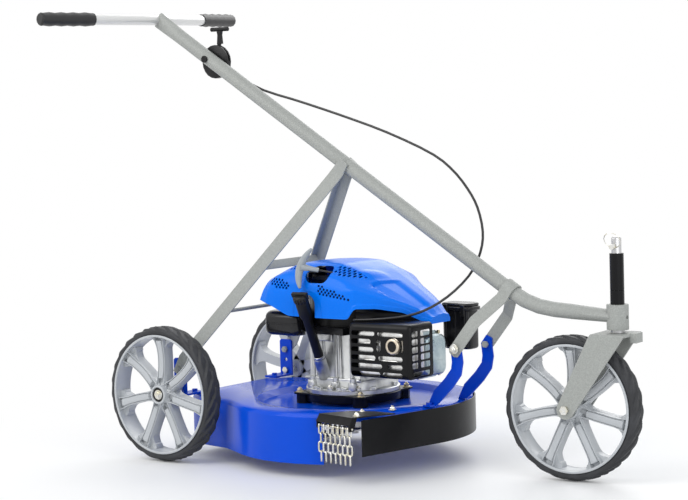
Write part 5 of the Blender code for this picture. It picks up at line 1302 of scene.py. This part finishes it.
def make_chains():
    """Every strand's links: round wire carried round an oval, each link turned on the one above."""
    wire, reach, radius = 0.0019, 0.0061, 0.0046
    t = np.linspace(0, 2 * math.pi, 28, endpoint=False)
    side = np.clip(np.sin(t) * 4, -1, 1)
    loop = np.stack((radius * np.cos(t), 0 * t, radius * np.sin(t) + reach * side), -1)
    link = sweep(loop, ring_section(wire, 8), up=(0, 1, 0), loop=True)
    for k in range(1, 8):
        name = f"chain_{k}"
        low, high = (Vector(corner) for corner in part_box(name))
        axis = axis_of(name + "_swing")
        base = math.atan2(axis.y, axis.x)
        step = (high.z - low.z - 0.0250) / 3
        x, y = ((low + high) / 2).xy
        shells = []
        for i, turn in enumerate((90, -38, 50, -38)):
            place = Matrix.Translation((x, y, high.z - 0.0125 - step * i))
            shells += moved([link], place @ Matrix.Rotation(base + math.radians(turn), 4, "Z"))
        piece(name + "_links", shells, "zinc", 50, BODIES[name], name)


def landing(names, start, way):
    """The first point where a line from a start meets any of these solids."""
    found = []
    for name in names:
        mesh = NODES[name].data
        tree = BVHTree.FromPolygons([v.co for v in mesh.vertices], [p.vertices for p in mesh.polygons])
        place, _, _, distance = tree.ray_cast(Vector(start), Vector(way))
        if place:
            found.append((distance, place))
    if not found:
        raise RuntimeError("no solid under a fastener")
    return min(found, key=lambda f: f[0])[1]


def make_fasteners():
    """Bolts and nuts on the hanger, the legs, the deck and the chute, each set on the solid under it."""
    big, small = [], []
    for side, leg in ((-1, "front_leg_right"), (1, "front_leg_left")):
        spot = landing(("front_hanger", leg), (0.2626, side * 0.3, 0.2614), (0, -side, 0))
        big += hex_bolt(spot, (0, side, 0), 0.0130, 0.0070, 0.0105, 0.0042)
    for x, y in ((0.1155, -0.1940), (0.1480, -0.2560), (0.1528, -0.1395)):
        spot = landing(("chute_roof", "deck", "front_skirt"), (x, y, 0.3), (0, 0, -1))
        small += hex_bolt(spot, (0, 0, 1), 0.0095, 0.0050, 0.0080, 0.0030)
    piece("frame_bolts", big, "zinc", 30)
    piece("deck_bolts", small, "zinc", 30)


# Plain solids


# The CAD solids that no modelled piece stands for, by their finish
PLAIN = {
    "hammertone": (
        "boom_lower boom_upper steering_head front_hanger strut_left strut_right brace_upper brace_lower "
        "fork"
    ),
    "deck_blue": "deck",
    "bracket_blue": "axle_bracket_left axle_bracket_right front_leg_left front_leg_right",
    "satin_black": "engine_plate front_skirt chute_roof spacer_long spacer_short",
    "black_plastic": "throttle_housing throttle_lever blower_housing oil_filler_tube oil_cap fuel_cap",
    "zinc": "axle_bolt_left axle_bolt_right front_axle_bolt lynch_pin chain_rod",
    "cast_aluminium": "crankcase cylinder carburettor",
    "steel": "crankshaft blade spindle",
    "grip_rubber": "grip_left grip_right",
    "silver_bar": "handlebar",
}


def plain_solids():
    """Every CAD solid that no modelled piece stands for gets its finish."""
    for look, names in PLAIN.items():
        for node in names.split():
            refined(node, look)


class MOWER_OT_stage(bpy.types.Operator):
    """Camera, floor, backdrop and lamps"""

    bl_idname = "mower.stage"
    bl_label = "Stage"

    def execute(self, context):
        studio()
        return {"FINISHED"}


class MOWER_OT_wheels(bpy.types.Operator):
    """Spoked wheel centres and tyres with tread"""

    bl_idname = "mower.wheels"
    bl_label = "Wheels"

    def execute(self, context):
        make_wheels()
        return {"FINISHED"}


class MOWER_OT_cable(bpy.types.Operator):
    """Throttle cable along its route"""

    bl_idname = "mower.cable"
    bl_label = "Cable"

    def execute(self, context):
        make_cable()
        return {"FINISHED"}


class MOWER_OT_engine(bpy.types.Operator):
    """Castings, guard, exhaust, valve cover, air filter, tank and starter of the engine"""

    bl_idname = "mower.engine"
    bl_label = "Engine"

    def execute(self, context):
        for build in (
            make_guard, make_muffler, make_exhaust, make_valve_cover, make_crankcase, make_engine_plate,
            make_air_filter, make_shroud, make_tank, make_starter, make_oil_cap,
        ):
            build()
        return {"FINISHED"}


class MOWER_OT_fasteners(bpy.types.Operator):
    """Chain links, bolts and nuts"""

    bl_idname = "mower.fasteners"
    bl_label = "Chains and fasteners"

    def execute(self, context):
        make_chains()
        make_fasteners()
        return {"FINISHED"}


class MOWER_OT_cowl(bpy.types.Operator):
    """Moulded engine cowl with its vents"""

    bl_idname = "mower.cowl"
    bl_label = "Cowl"

    def execute(self, context):
        make_cowl()
        return {"FINISHED"}


class MOWER_OT_solids(bpy.types.Operator):
    """Finishes for the CAD solids that stay as they are"""

    bl_idname = "mower.solids"
    bl_label = "Plain solids"

    def execute(self, context):
        plain_solids()
        return {"FINISHED"}


class MOWER_PT_panel(bpy.types.Panel):
    """Lists the mower's operators and settings"""

    bl_label = "Mower"
    bl_space_type = "VIEW_3D"
    bl_region_type = "UI"
    bl_category = "Mower"

    def draw(self, context):
        for operator in OPERATORS:
            self.layout.operator(operator.bl_idname)
        for group in (context.scene.mower_colours, context.scene.mower_sizes):
            for name in group.bl_rna.properties.keys():
                if name not in ("rna_type", "name"):
                    self.layout.prop(group, name)


OPERATORS = (
    MOWER_OT_stage, MOWER_OT_cable, MOWER_OT_wheels, MOWER_OT_cowl, MOWER_OT_engine, MOWER_OT_fasteners,
    MOWER_OT_solids,
)
CLASSES = (MowerColours, MowerSizes, *OPERATORS, MOWER_PT_panel)


def register():
    for cls in CLASSES:
        bpy.utils.register_class(cls)
    bpy.types.Scene.mower_colours = PointerProperty(type=MowerColours)
    bpy.types.Scene.mower_sizes = PointerProperty(type=MowerSizes)


def unregister():
    del bpy.types.Scene.mower_sizes
    del bpy.types.Scene.mower_colours
    for cls in reversed(CLASSES):
        bpy.utils.unregister_class(cls)


def main():
    """Makes every piece in order."""
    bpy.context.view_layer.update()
    register()
    for operator in OPERATORS:
        group, name = operator.bl_idname.split(".")
        getattr(getattr(bpy.ops, group), name)()


if __name__ == "__main__":
    main()
